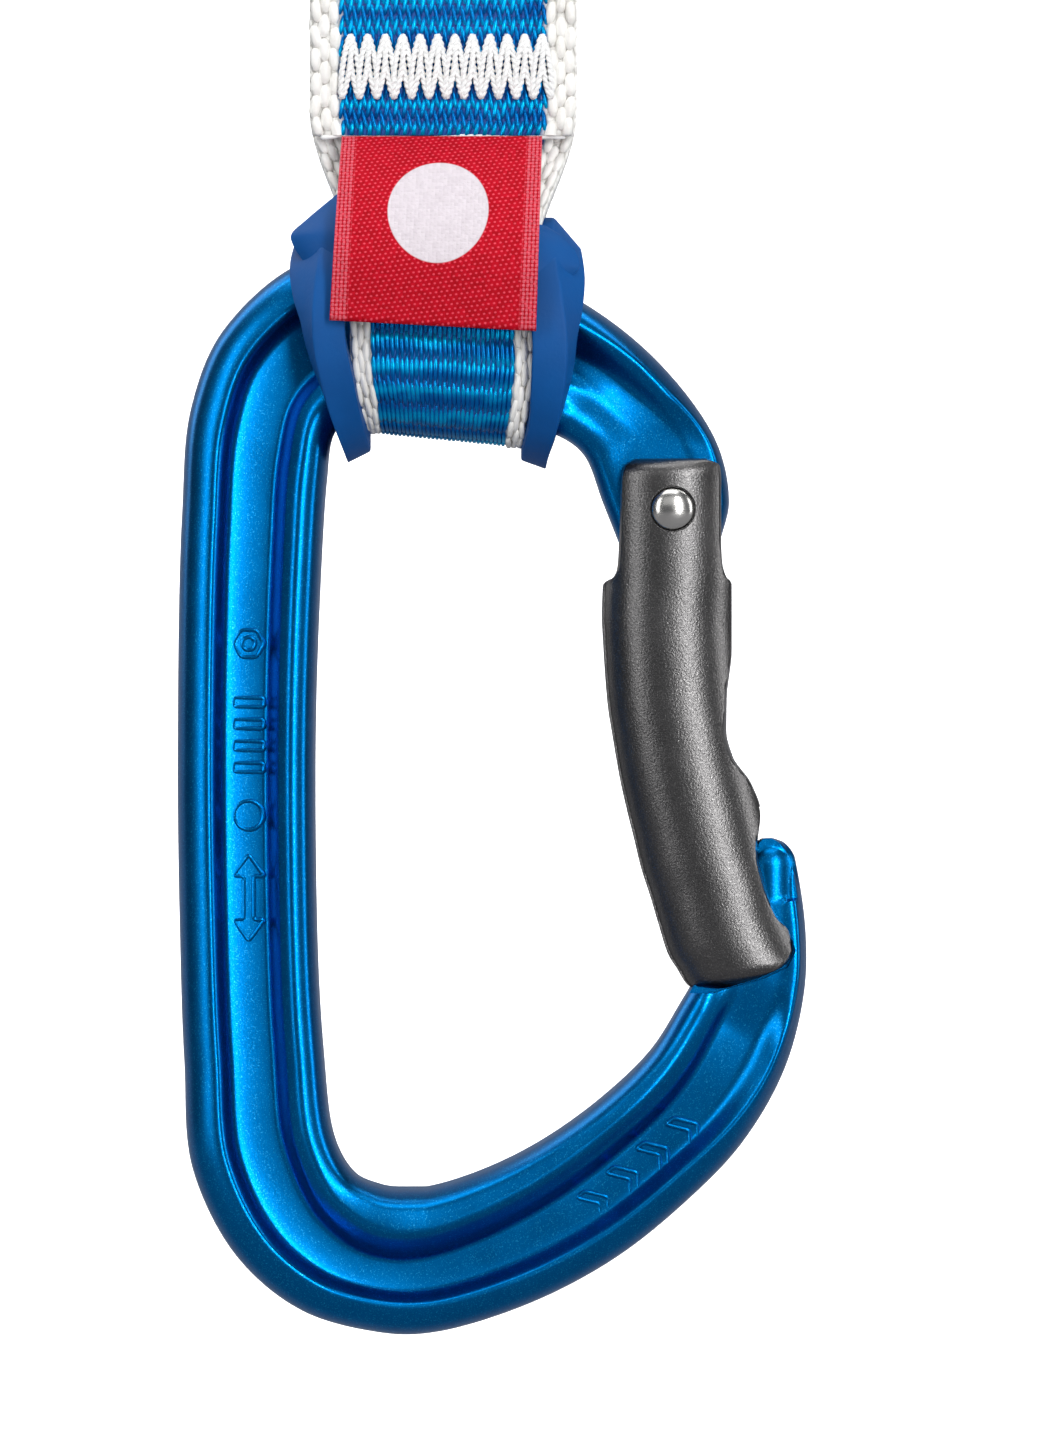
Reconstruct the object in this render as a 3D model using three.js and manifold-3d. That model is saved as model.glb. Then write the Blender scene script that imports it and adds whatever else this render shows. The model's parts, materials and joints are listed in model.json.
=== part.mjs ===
// Climbing quickdraw: a bolt-end carabiner with a straight gate, a stitched webbing sling, and a
// rope-end carabiner with a bent gate, held in line by a rubber keeper. Millimetres, +Z up, +X towards
// the gates. The origin is the lowest inner point of the bolt-end basket, where a bolt hanger sits.
import * as THREE from "three";
import { mergeVertices } from "three/addons/utils/BufferGeometryUtils.js";
import Module from "manifold-3d";

const wasm = await Module();
wasm.setup();

// Driving dimensions.
const slingLength = 120; // outer end of one loop to outer end of the other
const loopEnd = 68.8; // basket seat to the outer end of the loop on the same carabiner
const seatSpan = 2 * loopEnd + slingLength; // basket seat to basket seat
const beadOuter = 3.6; // half thicknesses of the forged body
const beadSpine = 4.4;
const beadBasket = 5.2;
const web = 1.7;
const pivot = { x: 23.86, z: 62.33 };
const tangHalf = 2.1;
const tangRadius = 7.3; // the body is milled down to the tang inside this radius
const tongueHalf = 2.0;
const noseStep = 26.5; // above this height the nose is only the tongue
const forkHalf = 2.4;
const forkDepth = 6.4;
const gateHalf = 4.8;
const rivetRadius = 1.5;
const rivetHole = 1.6;
const rivetHead = 2.0;
const plungerX = pivot.x - 1.6;
const plungerRadius = 1.45;
const plungerTop = 60.1;
const plungerFoot = 53.3;
const boreRadius = 1.7;
const boreFoot = 45.4;
const springWire = 0.45;
const springRadius = 1.1;
const springTurns = 5;
const strapThick = 1.9;
const layerPitch = 2.0;
const strapCentre = 2.8; // X of the sling's middle line
const strapWide = 24.6;
const strapLoop = 16.4;
const strapTip = 12.8; // narrowest, where the strap bends round the bar
const barSlope = Math.tan(THREE.MathUtils.degToRad(5.6)); // the bar's inner edge falls towards the gate
const tackHeight = 6.2;
const tackWide = 19.2;
const tackStitches = 12;

const v3 = (x, y, z) => new THREE.Vector3(x, y, z);
const mix = THREE.MathUtils.lerp;
const smooth = THREE.MathUtils.smoothstep;

const finish = {
  anodised: new THREE.MeshStandardMaterial({ color: 0x0f5fae, roughness: 0.35, metalness: 0.9 }),
  gate: new THREE.MeshStandardMaterial({ color: 0x4a4a4c, roughness: 0.45, metalness: 0.8 }),
  steel: new THREE.MeshStandardMaterial({ color: 0xb9babb, roughness: 0.3, metalness: 1 }),
  webbing: new THREE.MeshStandardMaterial({ color: 0x0f6fc0, roughness: 0.85, metalness: 0 }),
  thread: new THREE.MeshStandardMaterial({ color: 0xf0f0ec, roughness: 0.8, metalness: 0 }),
  label: new THREE.MeshStandardMaterial({ color: 0xc01f2e, roughness: 0.85, metalness: 0 }),
  rubber: new THREE.MeshStandardMaterial({ color: 0x1d5aa8, roughness: 0.65, metalness: 0 }),
};

// A closed shell between a front and a back grid of points: rows run along the piece, columns across it.
function shell(front, back) {
  const rows = front.length;
  const columns = front[0].length;
  const points = [...front.flat(), ...back.flat()];
  const at = (side, i, j) => side * rows * columns + i * columns + j;
  const faces = [];
  const quad = (a, b, c, d) => faces.push(a, b, c, a, c, d);
  for (let i = 0; i < rows - 1; i++) {
    for (let j = 0; j < columns - 1; j++) {
      quad(at(0, i, j), at(0, i, j + 1), at(0, i + 1, j + 1), at(0, i + 1, j));
      quad(at(1, i, j), at(1, i + 1, j), at(1, i + 1, j + 1), at(1, i, j + 1));
    }
    quad(at(0, i, 0), at(0, i + 1, 0), at(1, i + 1, 0), at(1, i, 0));
    quad(at(0, i, columns - 1), at(1, i, columns - 1), at(1, i + 1, columns - 1), at(0, i + 1, columns - 1));
  }
  for (let j = 0; j < columns - 1; j++) {
    quad(at(0, 0, j), at(1, 0, j), at(1, 0, j + 1), at(0, 0, j + 1));
    quad(at(0, rows - 1, j), at(0, rows - 1, j + 1), at(1, rows - 1, j + 1), at(1, rows - 1, j));
  }
  const geometry = new THREE.BufferGeometry().setFromPoints(points);
  geometry.setIndex(faces);
  return facingOut(geometry);
}

function volumeOf(geometry) {
  const p = geometry.getAttribute("position");
  const index = geometry.getIndex();
  const corner = (k) => new THREE.Vector3().fromBufferAttribute(p, index.getX(k));
  let volume = 0;
  for (let k = 0; k < index.count; k += 3) volume += corner(k).dot(corner(k + 1).cross(corner(k + 2)));
  return volume / 6;
}

function facingOut(geometry) {
  if (volumeOf(geometry) > 0) return geometry;
  const index = geometry.getIndex().array;
  for (let k = 0; k < index.length; k += 3) [index[k + 1], index[k + 2]] = [index[k + 2], index[k + 1]];
  return geometry;
}

// Turns a geometry into a solid that can be joined or cut.
function solid(geometry) {
  const bare = geometry.clone();
  bare.deleteAttribute("normal");
  bare.deleteAttribute("uv");
  const merged = mergeVertices(bare, 1e-4);
  return new wasm.Manifold(
    new wasm.Mesh({
      numProp: 3,
      vertProperties: merged.getAttribute("position").array,
      triVerts: new Uint32Array(merged.getIndex().array),
    }),
  );
}

function geometryOf(made) {
  const mesh = made.getMesh();
  const geometry = new THREE.BufferGeometry();
  geometry.setAttribute("position", new THREE.BufferAttribute(new Float32Array(mesh.vertProperties), 3));
  geometry.setIndex(new THREE.BufferAttribute(new Uint32Array(mesh.triVerts), 1));
  return geometry;
}

function cut(base, ...tools) {
  return geometryOf(tools.reduce((made, tool) => made.subtract(solid(tool)), solid(base)));
}

function join(base, ...others) {
  return geometryOf(others.reduce((made, other) => made.add(solid(other)), solid(base)));
}

// A flat outline in the X-Z plane, carried from one Y to another.
function plate(outline, fromY, toY) {
  const shape = new THREE.Shape(outline.map(([x, z]) => new THREE.Vector2(x, z)));
  const depth = toY - fromY;
  return new THREE.ExtrudeGeometry(shape, { depth, bevelEnabled: false, steps: 1 })
    .rotateX(Math.PI / 2)
    .translate(0, toY, 0);
}

function rodAlongY(radius, x, z, fromY, toY) {
  return new THREE.CylinderGeometry(radius, radius, toY - fromY, 24).translate(x, (fromY + toY) / 2, z);
}

function rodAlongZ(radius, x, fromZ, toZ, sides = 20) {
  return new THREE.CylinderGeometry(radius, radius, toZ - fromZ, sides)
    .rotateX(Math.PI / 2)
    .translate(x, 0, (fromZ + toZ) / 2);
}

// A smooth rail through points of the X-Z plane, with a chosen number of steps in each stretch.
function rail(points, steps) {
  const curve = new THREE.CatmullRomCurve3(points.map(([x, z]) => v3(x, 0, z)), false, "centripetal");
  const last = points.length - 1;
  const made = [];
  for (let i = 0; i < last; i++) {
    for (let k = 0; k < steps[i]; k++) made.push(curve.getPoint((i + k / steps[i]) / last));
  }
  made.push(curve.getPoint(1));
  return made;
}

// A two-sided body between an outer and an inner rail. half(u, t) is half its thickness at the share u
// of the way across and t of the way along.
function betweenRails(outer, inner, across, half) {
  const side = (sign) =>
    outer.map((a, i) =>
      across.map((u) => {
        const p = a.clone().lerp(inner[i], u);
        return p.setY(sign * half(u, i / (outer.length - 1)));
      }),
    );
  return shell(side(-1), side(1));
}

// Forged carabiner body, from the tang at the hinge, over the top bar, down the spine and round the
// basket to the nose: [outer x, outer z, inner x, inner z].
const bodyStations = [
  [29.0, 61.0, 18.4, 60.0],
  [29.1, 64.7, 17.2, 64.7],
  [27.7, 69.2, 15.8, 67.3],
  [22.6, 76.0, 12.6, 69.5],
  [15.6, 81.5, 8.5, 70.5],
  [6.2, 85.6, 3.0, 71.3],
  [-3.0, 86.8, -1.5, 71.8],
  [-11.3, 84.6, -5.3, 71.1],
  [-17.5, 78.9, -7.3, 69.2],
  [-20.4, 72.0, -7.9, 65.1],
  [-21.3, 62.0, -8.4, 57.5],
  [-21.7, 41.1, -8.95, 41.0],
  [-21.5, 23.6, -8.75, 22.0],
  [-21.1, 11.6, -8.2, 12.5],
  [-20.2, 1.2, -7.3, 5.0],
  [-16.0, -6.8, -5.4, 1.4],
  [-10.0, -11.6, -3.0, 0.25],
  [-3.0, -13.5, -1.2, 0],
  [1.8, -13.5, 1.2, 0],
  [10.3, -11.0, 6.2, 1.5],
  [18.4, -6.8, 11.7, 4.2],
  [25.3, -1.3, 17.2, 8.1],
  [30.5, 4.2, 21.8, 12.5],
  [34.3, 10.9, 24.8, 17.2],
  [36.1, 18.1, 27.3, 21.5],
  [36.2, 23.6, 28.9, 24.3],
  [35.2, 29.6, 30.5, 27.9],
  [34.3, 31.3, 31.4, 30.3],
  [33.2, 32.1, 32.3, 31.8],
];
const seatStretch = 17; // the stretch that carries the flat seat has no step inside it
const forgedAcross = [0, 0.03, 0.12, 0.25, 0.36, 0.62, 0.73, 0.86, 0.96, 1];

function forgedHalf(u, t) {
  const basket = smooth(t, 0.45, 0.55);
  const bead = mix(beadSpine, beadBasket, basket);
  const channel = smooth(t, 0.02, 0.14) * (1 - smooth(t, 0.78, 0.88));
  const floor = mix(3.6, web, channel);
  const heights = [1, 2.5, beadOuter, beadOuter, floor, floor, bead, bead, 0.62 * bead, 1];
  return heights[forgedAcross.indexOf(u)];
}

function forgedBody() {
  const steps = bodyStations.slice(1).map((_, i) => (i === seatStretch ? 1 : 2));
  const outer = rail(bodyStations.map(([x, z]) => [x, z]), steps);
  const inner = rail(bodyStations.map(([, , x, z]) => [x, z]), steps);
  const blank = betweenRails(outer, inner, forgedAcross, forgedHalf);
  const noseNotch = [
    [20, 36],
    [20, 23],
    [24, 17.4],
    [27.5, 17.4],
    [34.4, 19.8],
    [35.5, 21.8],
    [35.5, noseStep],
    [40, noseStep],
    [40, 36],
  ];
  const milled = [-1, 1].flatMap((side) => {
    const span = (half) => (side < 0 ? [-10, -half] : [half, 10]);
    return [
      rodAlongY(tangRadius, pivot.x, pivot.z, ...span(tangHalf)),
      plate(noseNotch, ...span(tongueHalf)),
    ];
  });
  return cut(blank, ...milled, rodAlongY(rivetHole, pivot.x, pivot.z, -10, 10));
}

// Gates, from the head above the rivet to the tip: [left x, left z, right x, right z].
const gateHead = [
  [20.3, 67.0, 27.4, 67.0],
  [19.2, 66.0, 28.5, 66.0],
  [18.9, 60.0, 28.5, 59.8],
  [18.7, 57.0, 28.6, 57.3],
];
const bentGate = [
  ...gateHead,
  [17.5, 55.7, 29.4, 55.7],
  [17.5, 50.6, 29.4, 50.6],
  [17.9, 44.7, 28.95, 45.1],
  [19.1, 37.4, 29.5, 39.6],
  [19.8, 34.3, 31.2, 37.1],
  [20.4, 31.9, 32.1, 34.3],
  [21.0, 29.4, 31.8, 31.2],
  [21.9, 26.6, 32.45, 28.1],
  [22.7, 23.9, 33.6, 25.0],
  [23.5, 21.4, 34.8, 23.5],
  [24.3, 20.1, 35.05, 21.8],
  [25.7, 18.6, 34.4, 20.5],
  [27.5, 18.05, 32.3, 19.4],
];
const straightGate = [
  ...gateHead,
  [18.4, 55.5, 29.4, 55.5],
  [19.9, 46.0, 30.9, 47.4],
  [21.5, 35.2, 32.7, 36.7],
  [22.7, 27.2, 34.1, 28.6],
  [23.5, 21.6, 34.8, 23.5],
  [24.3, 20.1, 35.05, 21.8],
  [25.7, 18.6, 34.4, 20.5],
  [27.5, 18.05, 32.3, 19.4],
];

function gateHalfAt(u, t) {
  const round = Math.pow(1 - Math.pow(Math.abs(2 * u - 1), 2.8), 1 / 2.8);
  const ends = Math.min(1, 0.82 + t * 3, 0.8 + (1 - t) * 2);
  return gateHalf * ends * mix(0.16, 1, round);
}

function gate(stations) {
  const columns = 9;
  const across = Array.from({ length: columns }, (_, j) => (1 - Math.cos((Math.PI * j) / (columns - 1))) / 2);
  const left = stations.map(([x, z]) => v3(x, 0, z));
  const right = stations.map(([, , x, z]) => v3(x, 0, z));
  const blank = betweenRails(left, right, across, gateHalfAt);
  const forkFoot = pivot.z - forkDepth;
  const fork = plate([[10, forkFoot], [40, forkFoot], [40, 70], [10, 70]], -forkHalf, forkHalf);
  const keyway = plate(
    [[24, 15], [40, 15], [40, 35], [30.6, 35], [30.2, 31], [29.5, 28], [27.8, 24.5], [26.2, 21.5]],
    -tongueHalf - 0.3,
    tongueHalf + 0.3,
  );
  const sinks = [
    rodAlongY(rivetHead + 0.15, pivot.x, pivot.z, -6, 0.8 - gateHalf),
    rodAlongY(rivetHead + 0.15, pivot.x, pivot.z, gateHalf - 0.8, 6),
  ];
  const bore = rodAlongZ(boreRadius, plungerX, boreFoot, 62);
  return cut(blank, fork, keyway, bore, rodAlongY(rivetHole, pivot.x, pivot.z, -10, 10), ...sinks);
}

// Rivet with two domed heads, as a lathe profile turned to lie along Y.
function rivet() {
  const seat = gateHalf - 0.75;
  const head = [
    [rivetRadius, seat],
    [rivetHead, seat],
    [rivetHead, seat + 0.5],
    [1.5, seat + 1.0],
    [0.8, seat + 1.25],
  ];
  const profile = [
    [0, -seat - 1.35],
    ...head.map(([r, y]) => [r, -y]).reverse(),
    ...head,
    [0, seat + 1.35],
  ].map(([r, y]) => new THREE.Vector2(r, y));
  return new THREE.LatheGeometry(profile, 24).translate(pivot.x, 0, pivot.z);
}

class Helix extends THREE.Curve {
  constructor(radius, turns, fromZ, toZ) {
    super();
    Object.assign(this, { radius, turns, fromZ, toZ });
  }
  getPoint(t, target = new THREE.Vector3()) {
    const angle = 2 * Math.PI * this.turns * t;
    const [x, y] = [this.radius * Math.cos(angle), this.radius * Math.sin(angle)];
    return target.set(x, y, mix(this.fromZ, this.toZ, t));
  }
}

function gateSpring() {
  const wire = new THREE.Shape().absarc(0, 0, springWire / 2, 0, 2 * Math.PI);
  const path = new Helix(springRadius, springTurns, boreFoot + 0.3, plungerFoot - 0.3);
  const options = { steps: springTurns * 12, curveSegments: 5, bevelEnabled: false, extrudePath: path };
  return new THREE.ExtrudeGeometry(wire, options).translate(plungerX, 0, 0);
}

function plunger() {
  const profile = [
    [0, plungerFoot],
    [plungerRadius, plungerFoot],
    [plungerRadius, plungerTop - 0.4],
    [1, plungerTop],
    [0, plungerTop],
  ].map(([r, z]) => new THREE.Vector2(r, z));
  return new THREE.LatheGeometry(profile, 20).rotateX(Math.PI / 2).translate(plungerX, 0, 0);
}

// A carabiner's meshes: body, gate, rivet, plunger and spring, each under the end's name.
function carabiner(end, stations) {
  const group = new THREE.Group();
  const pieces = {
    body: [forgedBody(), finish.anodised],
    gate: [gate(stations), finish.gate],
    gate_rivet: [rivet(), finish.steel],
    gate_plunger: [plunger(), finish.steel],
    gate_spring: [gateSpring(), finish.steel],
  };
  for (const [name, [geometry, material]] of Object.entries(pieces)) {
    const mesh = new THREE.Mesh(geometry, material);
    mesh.name = `${end}_${name}`;
    group.add(mesh);
  }
  return group;
}

// Heights on the sling, from the basket seat of the carabiner at that end.
const barMiddle = 77; // round which the sling swings
const loopCrest = loopEnd + strapThick / 2; // the strap's middle surface at the end of a loop
const cutEnd = 96.7; // where the front layer and the middle layer are cut
const neck = 99.4; // the layers lie flat together beyond this
const cornering = 0.8; // under 1, the loop's end is squarer than an ellipse
const low = (height) => height - seatSpan;
const high = (height) => -height;

// The strap's middle line in the Y-Z plane: front layer, round the bolt-end bar, back layer, round the
// rope-end bar, middle layer. The bolt-end loop is roomy, so that the bar can turn in it.
function strapPath() {
  const path = [
    [-layerPitch, low(cutEnd)],
    [-layerPitch, low(neck)],
    [-layerPitch, high(neck)],
    [-2.3, high(neck - 2)],
  ];
  const loop = (legY, toZ, firstLeg, lastLeg, turn) => {
    path.push([-turn * legY, toZ(firstLeg)], [-turn * legY, toZ(barMiddle)]);
    for (let k = 1; k < 10; k++) {
      const angle = (Math.PI * k) / 10;
      const across = Math.sign(Math.cos(angle)) * Math.pow(Math.abs(Math.cos(angle)), cornering);
      const down = (barMiddle - loopCrest) * Math.pow(Math.sin(angle), cornering);
      path.push([-turn * legY * across, toZ(barMiddle - down)]);
    }
    path.push([turn * legY, toZ(barMiddle)], [turn * legY, toZ(lastLeg)]);
  };
  loop(8.7, high, 82, 82, 1);
  path.push([2.3, high(neck - 2)], [layerPitch, high(neck)], [layerPitch, low(neck)], [2.3, low(neck - 2)]);
  loop(6.35, low, 84.5, 84.5, -1);
  path.push([-0.25, low(96)], [0, low(100)], [0, high(cutEnd)]);
  return path;
}

// How far a point is from the nearer basket seat, for the width and the slope of the strap there.
const fromSeat = (z) => Math.min(-z, z + seatSpan);

function strapHalfWidth(z) {
  const height = fromSeat(z);
  const wide = mix(strapLoop, strapWide, smooth(height, 85, 99));
  return mix(strapTip, wide, smooth(height, 68, 78)) / 2;
}

function slope(x, z) {
  const weight = 1 - smooth(fromSeat(z), 74, 90);
  const towards = z < -seatSpan / 2 ? -1 : 1;
  return towards * weight * barSlope * (x - strapCentre);
}

function strap() {
  const path = strapPath().map(([y, z]) => v3(0, y, z));
  const offset = (side) =>
    path.map((p, i) => {
      const before = path[Math.max(0, i - 1)];
      const after = path[Math.min(path.length - 1, i + 1)];
      const into = p.clone().sub(before).normalize();
      const out = after.clone().sub(p).normalize();
      const along = into.add(out).normalize();
      const normal = v3(0, -along.z, along.y);
      const q = p.clone().addScaledVector(normal, (side * strapThick) / 2);
      return [-1, -0.5, 0, 0.5, 1].map((u) => {
        const x = strapCentre + u * strapHalfWidth(p.z);
        return v3(x, q.y, q.z + slope(x, p.z));
      });
    });
  return shell(offset(1), offset(-1));
}

// A zigzag bar tack: one flat thread run that crosses the strap's face.
function barTack(y, z) {
  const half = 0.45;
  const pitch = tackWide / tackStitches;
  const peaks = Array.from({ length: 2 * tackStitches + 1 }, (_, k) => [
    strapCentre - tackWide / 2 + (k * pitch) / 2,
    z + ((k % 2 ? 1 : -1) * (tackHeight / 2 - half)),
  ]);
  const outline = [...peaks.map(([x, h]) => [x, h + half]), ...peaks.map(([x, h]) => [x, h - half]).reverse()];
  return plate(outline, y - 0.2, y + 0.2);
}

// Folded woven label over the loop's front leg.
function label() {
  const line = [[-3.5, 96.2], [-5.8, 93.8], [-7.8, 90.8], [-9.9, 87.0], [-10.8, 84.4], [-11.0, 79.0]];
  const side = (offset) =>
    line.map(([y, height]) => [-9.15, 9.15].map((x) => v3(2.4 + x, y + offset, low(height) - 0.04 * x)));
  return shell(side(-0.4), side(0.4));
}

// Rubber keeper: a ring round the bar on each side of the loop, joined by a band over its front leg.
function keeper() {
  const ring = (topX, footX, lean) => {
    const outer = new THREE.Shape();
    outer.absellipse(0, 0, 9.9, 12.0, 0, 2 * Math.PI);
    const hole = new THREE.Path();
    hole.absellipse(0, 0, 6.7, 9.8, 0, 2 * Math.PI);
    outer.holes.push(hole);
    return new THREE.ExtrudeGeometry(outer, { depth: 3.4, bevelEnabled: false, curveSegments: 16 })
      .translate(0, 0, -1.7)
      .rotateZ(Math.PI / 2)
      .rotateY(Math.PI / 2)
      .rotateY(lean)
      .translate((topX + footX) / 2, 0, low(77.6));
  };
  const lean = (degrees) => THREE.MathUtils.degToRad(degrees);
  const left = ring(-9.8, -5.4, lean(-12));
  const right = ring(14.6, 11.6, lean(8));
  const bandLine = [[-8.7, 84.2], [-5.4, 91.2]];
  const bandSide = (offset) =>
    bandLine.map(([y, height]) => [-9.6, 14.6].map((x) => v3(x, y + offset, low(height))));
  return join(shell(bandSide(-0.85), bandSide(0.85)), left, right);
}

const quickdraw = new THREE.Group();

const boltEnd = carabiner("bolt", straightGate);
boltEnd.rotation.x = Math.PI;
quickdraw.add(boltEnd);

const ropeEnd = carabiner("rope", bentGate);
ropeEnd.position.z = low(0);
quickdraw.add(ropeEnd);

const soft = {
  sling_strap: [strap(), finish.webbing],
  woven_label: [label(), finish.label],
  rubber_keeper: [keeper(), finish.rubber],
};
const tackHeights = {
  rope_tack: low(103),
  rope_inner_tack: low(117),
  bolt_inner_tack: high(117),
  bolt_tack: high(103),
};
const faceY = layerPitch + strapThick / 2 + 0.25;
for (const [name, z] of Object.entries(tackHeights)) {
  soft[`${name}_front`] = [barTack(-faceY, z), finish.thread];
  soft[`${name}_back`] = [barTack(faceY, z), finish.thread];
}
for (const [name, [geometry, material]] of Object.entries(soft)) {
  const mesh = new THREE.Mesh(geometry, material);
  mesh.name = name;
  quickdraw.add(mesh);
}

export default quickdraw;
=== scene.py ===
import json
import math
import bmesh
import bpy
import numpy as np
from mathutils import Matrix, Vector


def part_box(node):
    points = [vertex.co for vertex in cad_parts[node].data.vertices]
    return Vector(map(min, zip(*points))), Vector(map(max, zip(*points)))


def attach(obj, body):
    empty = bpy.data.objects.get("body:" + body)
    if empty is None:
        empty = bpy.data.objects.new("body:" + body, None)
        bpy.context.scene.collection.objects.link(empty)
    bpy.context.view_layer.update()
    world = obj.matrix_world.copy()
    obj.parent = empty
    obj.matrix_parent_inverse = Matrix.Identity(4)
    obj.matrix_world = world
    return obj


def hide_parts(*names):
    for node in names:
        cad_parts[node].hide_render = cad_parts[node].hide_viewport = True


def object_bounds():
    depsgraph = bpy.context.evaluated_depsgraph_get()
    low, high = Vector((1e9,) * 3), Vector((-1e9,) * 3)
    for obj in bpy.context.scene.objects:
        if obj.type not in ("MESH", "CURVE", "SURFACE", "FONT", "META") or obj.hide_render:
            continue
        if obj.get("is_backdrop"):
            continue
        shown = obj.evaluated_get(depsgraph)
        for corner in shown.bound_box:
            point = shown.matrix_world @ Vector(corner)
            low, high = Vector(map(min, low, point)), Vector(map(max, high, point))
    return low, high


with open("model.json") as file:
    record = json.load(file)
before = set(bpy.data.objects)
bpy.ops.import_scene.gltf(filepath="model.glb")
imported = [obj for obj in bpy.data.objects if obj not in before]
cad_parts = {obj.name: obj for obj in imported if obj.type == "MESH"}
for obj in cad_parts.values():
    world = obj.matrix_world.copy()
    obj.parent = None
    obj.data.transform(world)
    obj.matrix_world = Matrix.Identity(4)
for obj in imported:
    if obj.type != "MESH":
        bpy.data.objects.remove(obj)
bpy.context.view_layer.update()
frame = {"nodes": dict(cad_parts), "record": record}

# Every shape is worked out in millimetres and brought to metres as its mesh is made.
MM = 0.001
RECORD = frame["record"]
ROPE_SEAT = next(m["pos_m"][2] for m in RECORD["mounts"] if m["name"] == "rope_seat") / MM
PIVOT = next(j["pos_m"] for j in RECORD["behaviour"]["joints"] if j["name"] == "bolt_gate_hinge")
PIVOT_X, PIVOT_Z = PIVOT[0] / MM, -PIVOT[2] / MM
STRAP_LOW, STRAP_HIGH = (np.array(corner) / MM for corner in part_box("sling_strap"))
STRAP_X = (STRAP_LOW[0] + STRAP_HIGH[0]) / 2

# The forging: half thickness of the tang and of the nose's tongue, how far from the pivot the tang and the
# ramp beyond it reach, and the nose with its step, its groove and the dome on the tongue.
TANG_HALF = 2.1
TANG_REACH, RAMP_REACH = 6.4, 15.0
TONGUE_HALF = 2.0
NOSE_HALF = 3.1
NOSE_STEP = 26.5
GROOVE_DEEP, GROOVE_HALF = 0.45, 0.4
KNOB_X, KNOB_Z, KNOB_RADIUS = 33.0, 29.4, 2.8
MARK_RADIUS = 0.2

# The gates: the bar, its fork, keyway and bore, and the rivet, whose shaft is seated under the bar's faces.
GATE_HALF = 4.8
GATE_WIDE = 12.6
GATE_POWER = 2.1
GATE_FLOOR = 0.3
EDGE_ROUND = 0.9
END_EASE = 1.6
FORK_HALF = 2.4
FORK_FOOT = PIVOT_Z - 6.4
KEYWAY_HALF = 2.3
BORE_X, BORE_RADIUS = PIVOT_X - 1.6, 1.7
RIVET_SHAFT, RIVET_HEAD = 1.5, 2.0
RIVET_SEAT = GATE_HALF - 0.75

# The strap: layers, webbing, widths, the bar it hangs on, and heights above the nearer basket seat.
LAYER_PITCH = 2.0
WEB_HALF = 0.95
WIDE, LOOP_WIDE, TIP_WIDE = 24.6, 17.0, 14.4
BAR_SLOPE = math.tan(math.radians(5.6))
BAR_MIDDLE = 77.0
LOOP_CREST = 69.75
CUT_END = 96.7
NECK = 99.4
SELVEDGE_SHARE = 0.775
YARN_LIFT = 0.80
# Pitch, in metres, of the painted highlight and shade bands across the blue yarn.
PAINTED_BAND_PITCH_M = 0.0024
TACK_HEIGHTS = {"inner_tack": 117.0, "tack": 103.0}
TACK_WIDE, TACK_TALL, TACK_STITCHES = 19.2, 6.2, 12
PLY_RADIUS, PLY_TURN = 0.14, 1.2

# The label's fold line in the Y-Z plane, and its ribbon.
LABEL_LINE = [(-3.6, 96.3), (-5.9, 93.8), (-7.9, 90.8), (-9.8, 87.0), (-10.6, 84.0), (-10.8, 79.3)]
LABEL_HALF = 0.17

# The keeper's rings: inner half depth and half height of their ellipse, and half thickness of the rubber.
RING_DEEP, RING_TALL, RING_THICK = 8.3, 9.85, 1.55

# Rows and columns of the larger meshes.
BODY_ROWS, HALF_COLUMNS = 860, 56
GATE_ROWS, GATE_COLUMNS = 220, 56
BAND_ROWS, BAND_HALF_RING = 720, 30
RING_ROWS, RING_COLUMNS = 140, 48


# ---------------------------------------------------------------- numbers and curves

def smooth(x, low, high):
    """0 below low, 1 above high, and 3t^2 - 2t^3 between them."""
    t = np.clip((np.asarray(x, float) - low) / (high - low), 0, 1)
    return t * t * (3 - 2 * t)


def mix(a, b, t):
    return a + (b - a) * t


def quarter_round(t):
    """Rises along a quarter circle from 0 at 0 to 1 at 1, and stays there."""
    return np.sqrt(1 - (1 - np.clip(t, 0, 1)) ** 2)


def full_turn(count):
    """count angles at equal steps round a full turn."""
    return np.linspace(0, 2 * np.pi, count, endpoint=False)


def through(knots, values, at, even=False):
    """Cubic Hermite curve through values at knots. The slope at a knot is the weighted mean of the chords
    beside it; with even, it is their harmonic mean, or zero where they differ in sign, so that nothing
    overshoots."""
    knots, values, at = (np.asarray(a, float) for a in (knots, values, at))
    step = np.diff(knots)[:, None]
    chord = np.diff(values, axis=0) / step
    before, after = chord[:-1], chord[1:]
    inner = (before * step[1:] + after * step[:-1]) / (step[:-1] + step[1:])
    slope = np.vstack([chord[:1], inner, chord[-1:]])
    if even:
        same = before * after > 0
        total = np.where(same, before + after, 1)
        slope[1:-1] = np.where(same, 2 * before * after / total, 0)
    i = np.clip(np.searchsorted(knots, at, side="right") - 1, 0, len(knots) - 2)
    s = ((at - knots[i]) / step[i, 0])[:, None]
    h = step[i]
    start = (2 * s**3 - 3 * s**2 + 1) * values[i] + (s**3 - 2 * s**2 + s) * h * slope[i]
    return start + (3 * s**2 - 2 * s**3) * values[i + 1] + (s**3 - s**2) * h * slope[i + 1]


def run_of(points):
    """Distance along a row of points."""
    return np.concatenate([[0], np.cumsum(np.linalg.norm(np.diff(points, axis=0), axis=1))])


def unit(rows):
    return rows / np.linalg.norm(rows, axis=1)[:, None]


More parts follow.
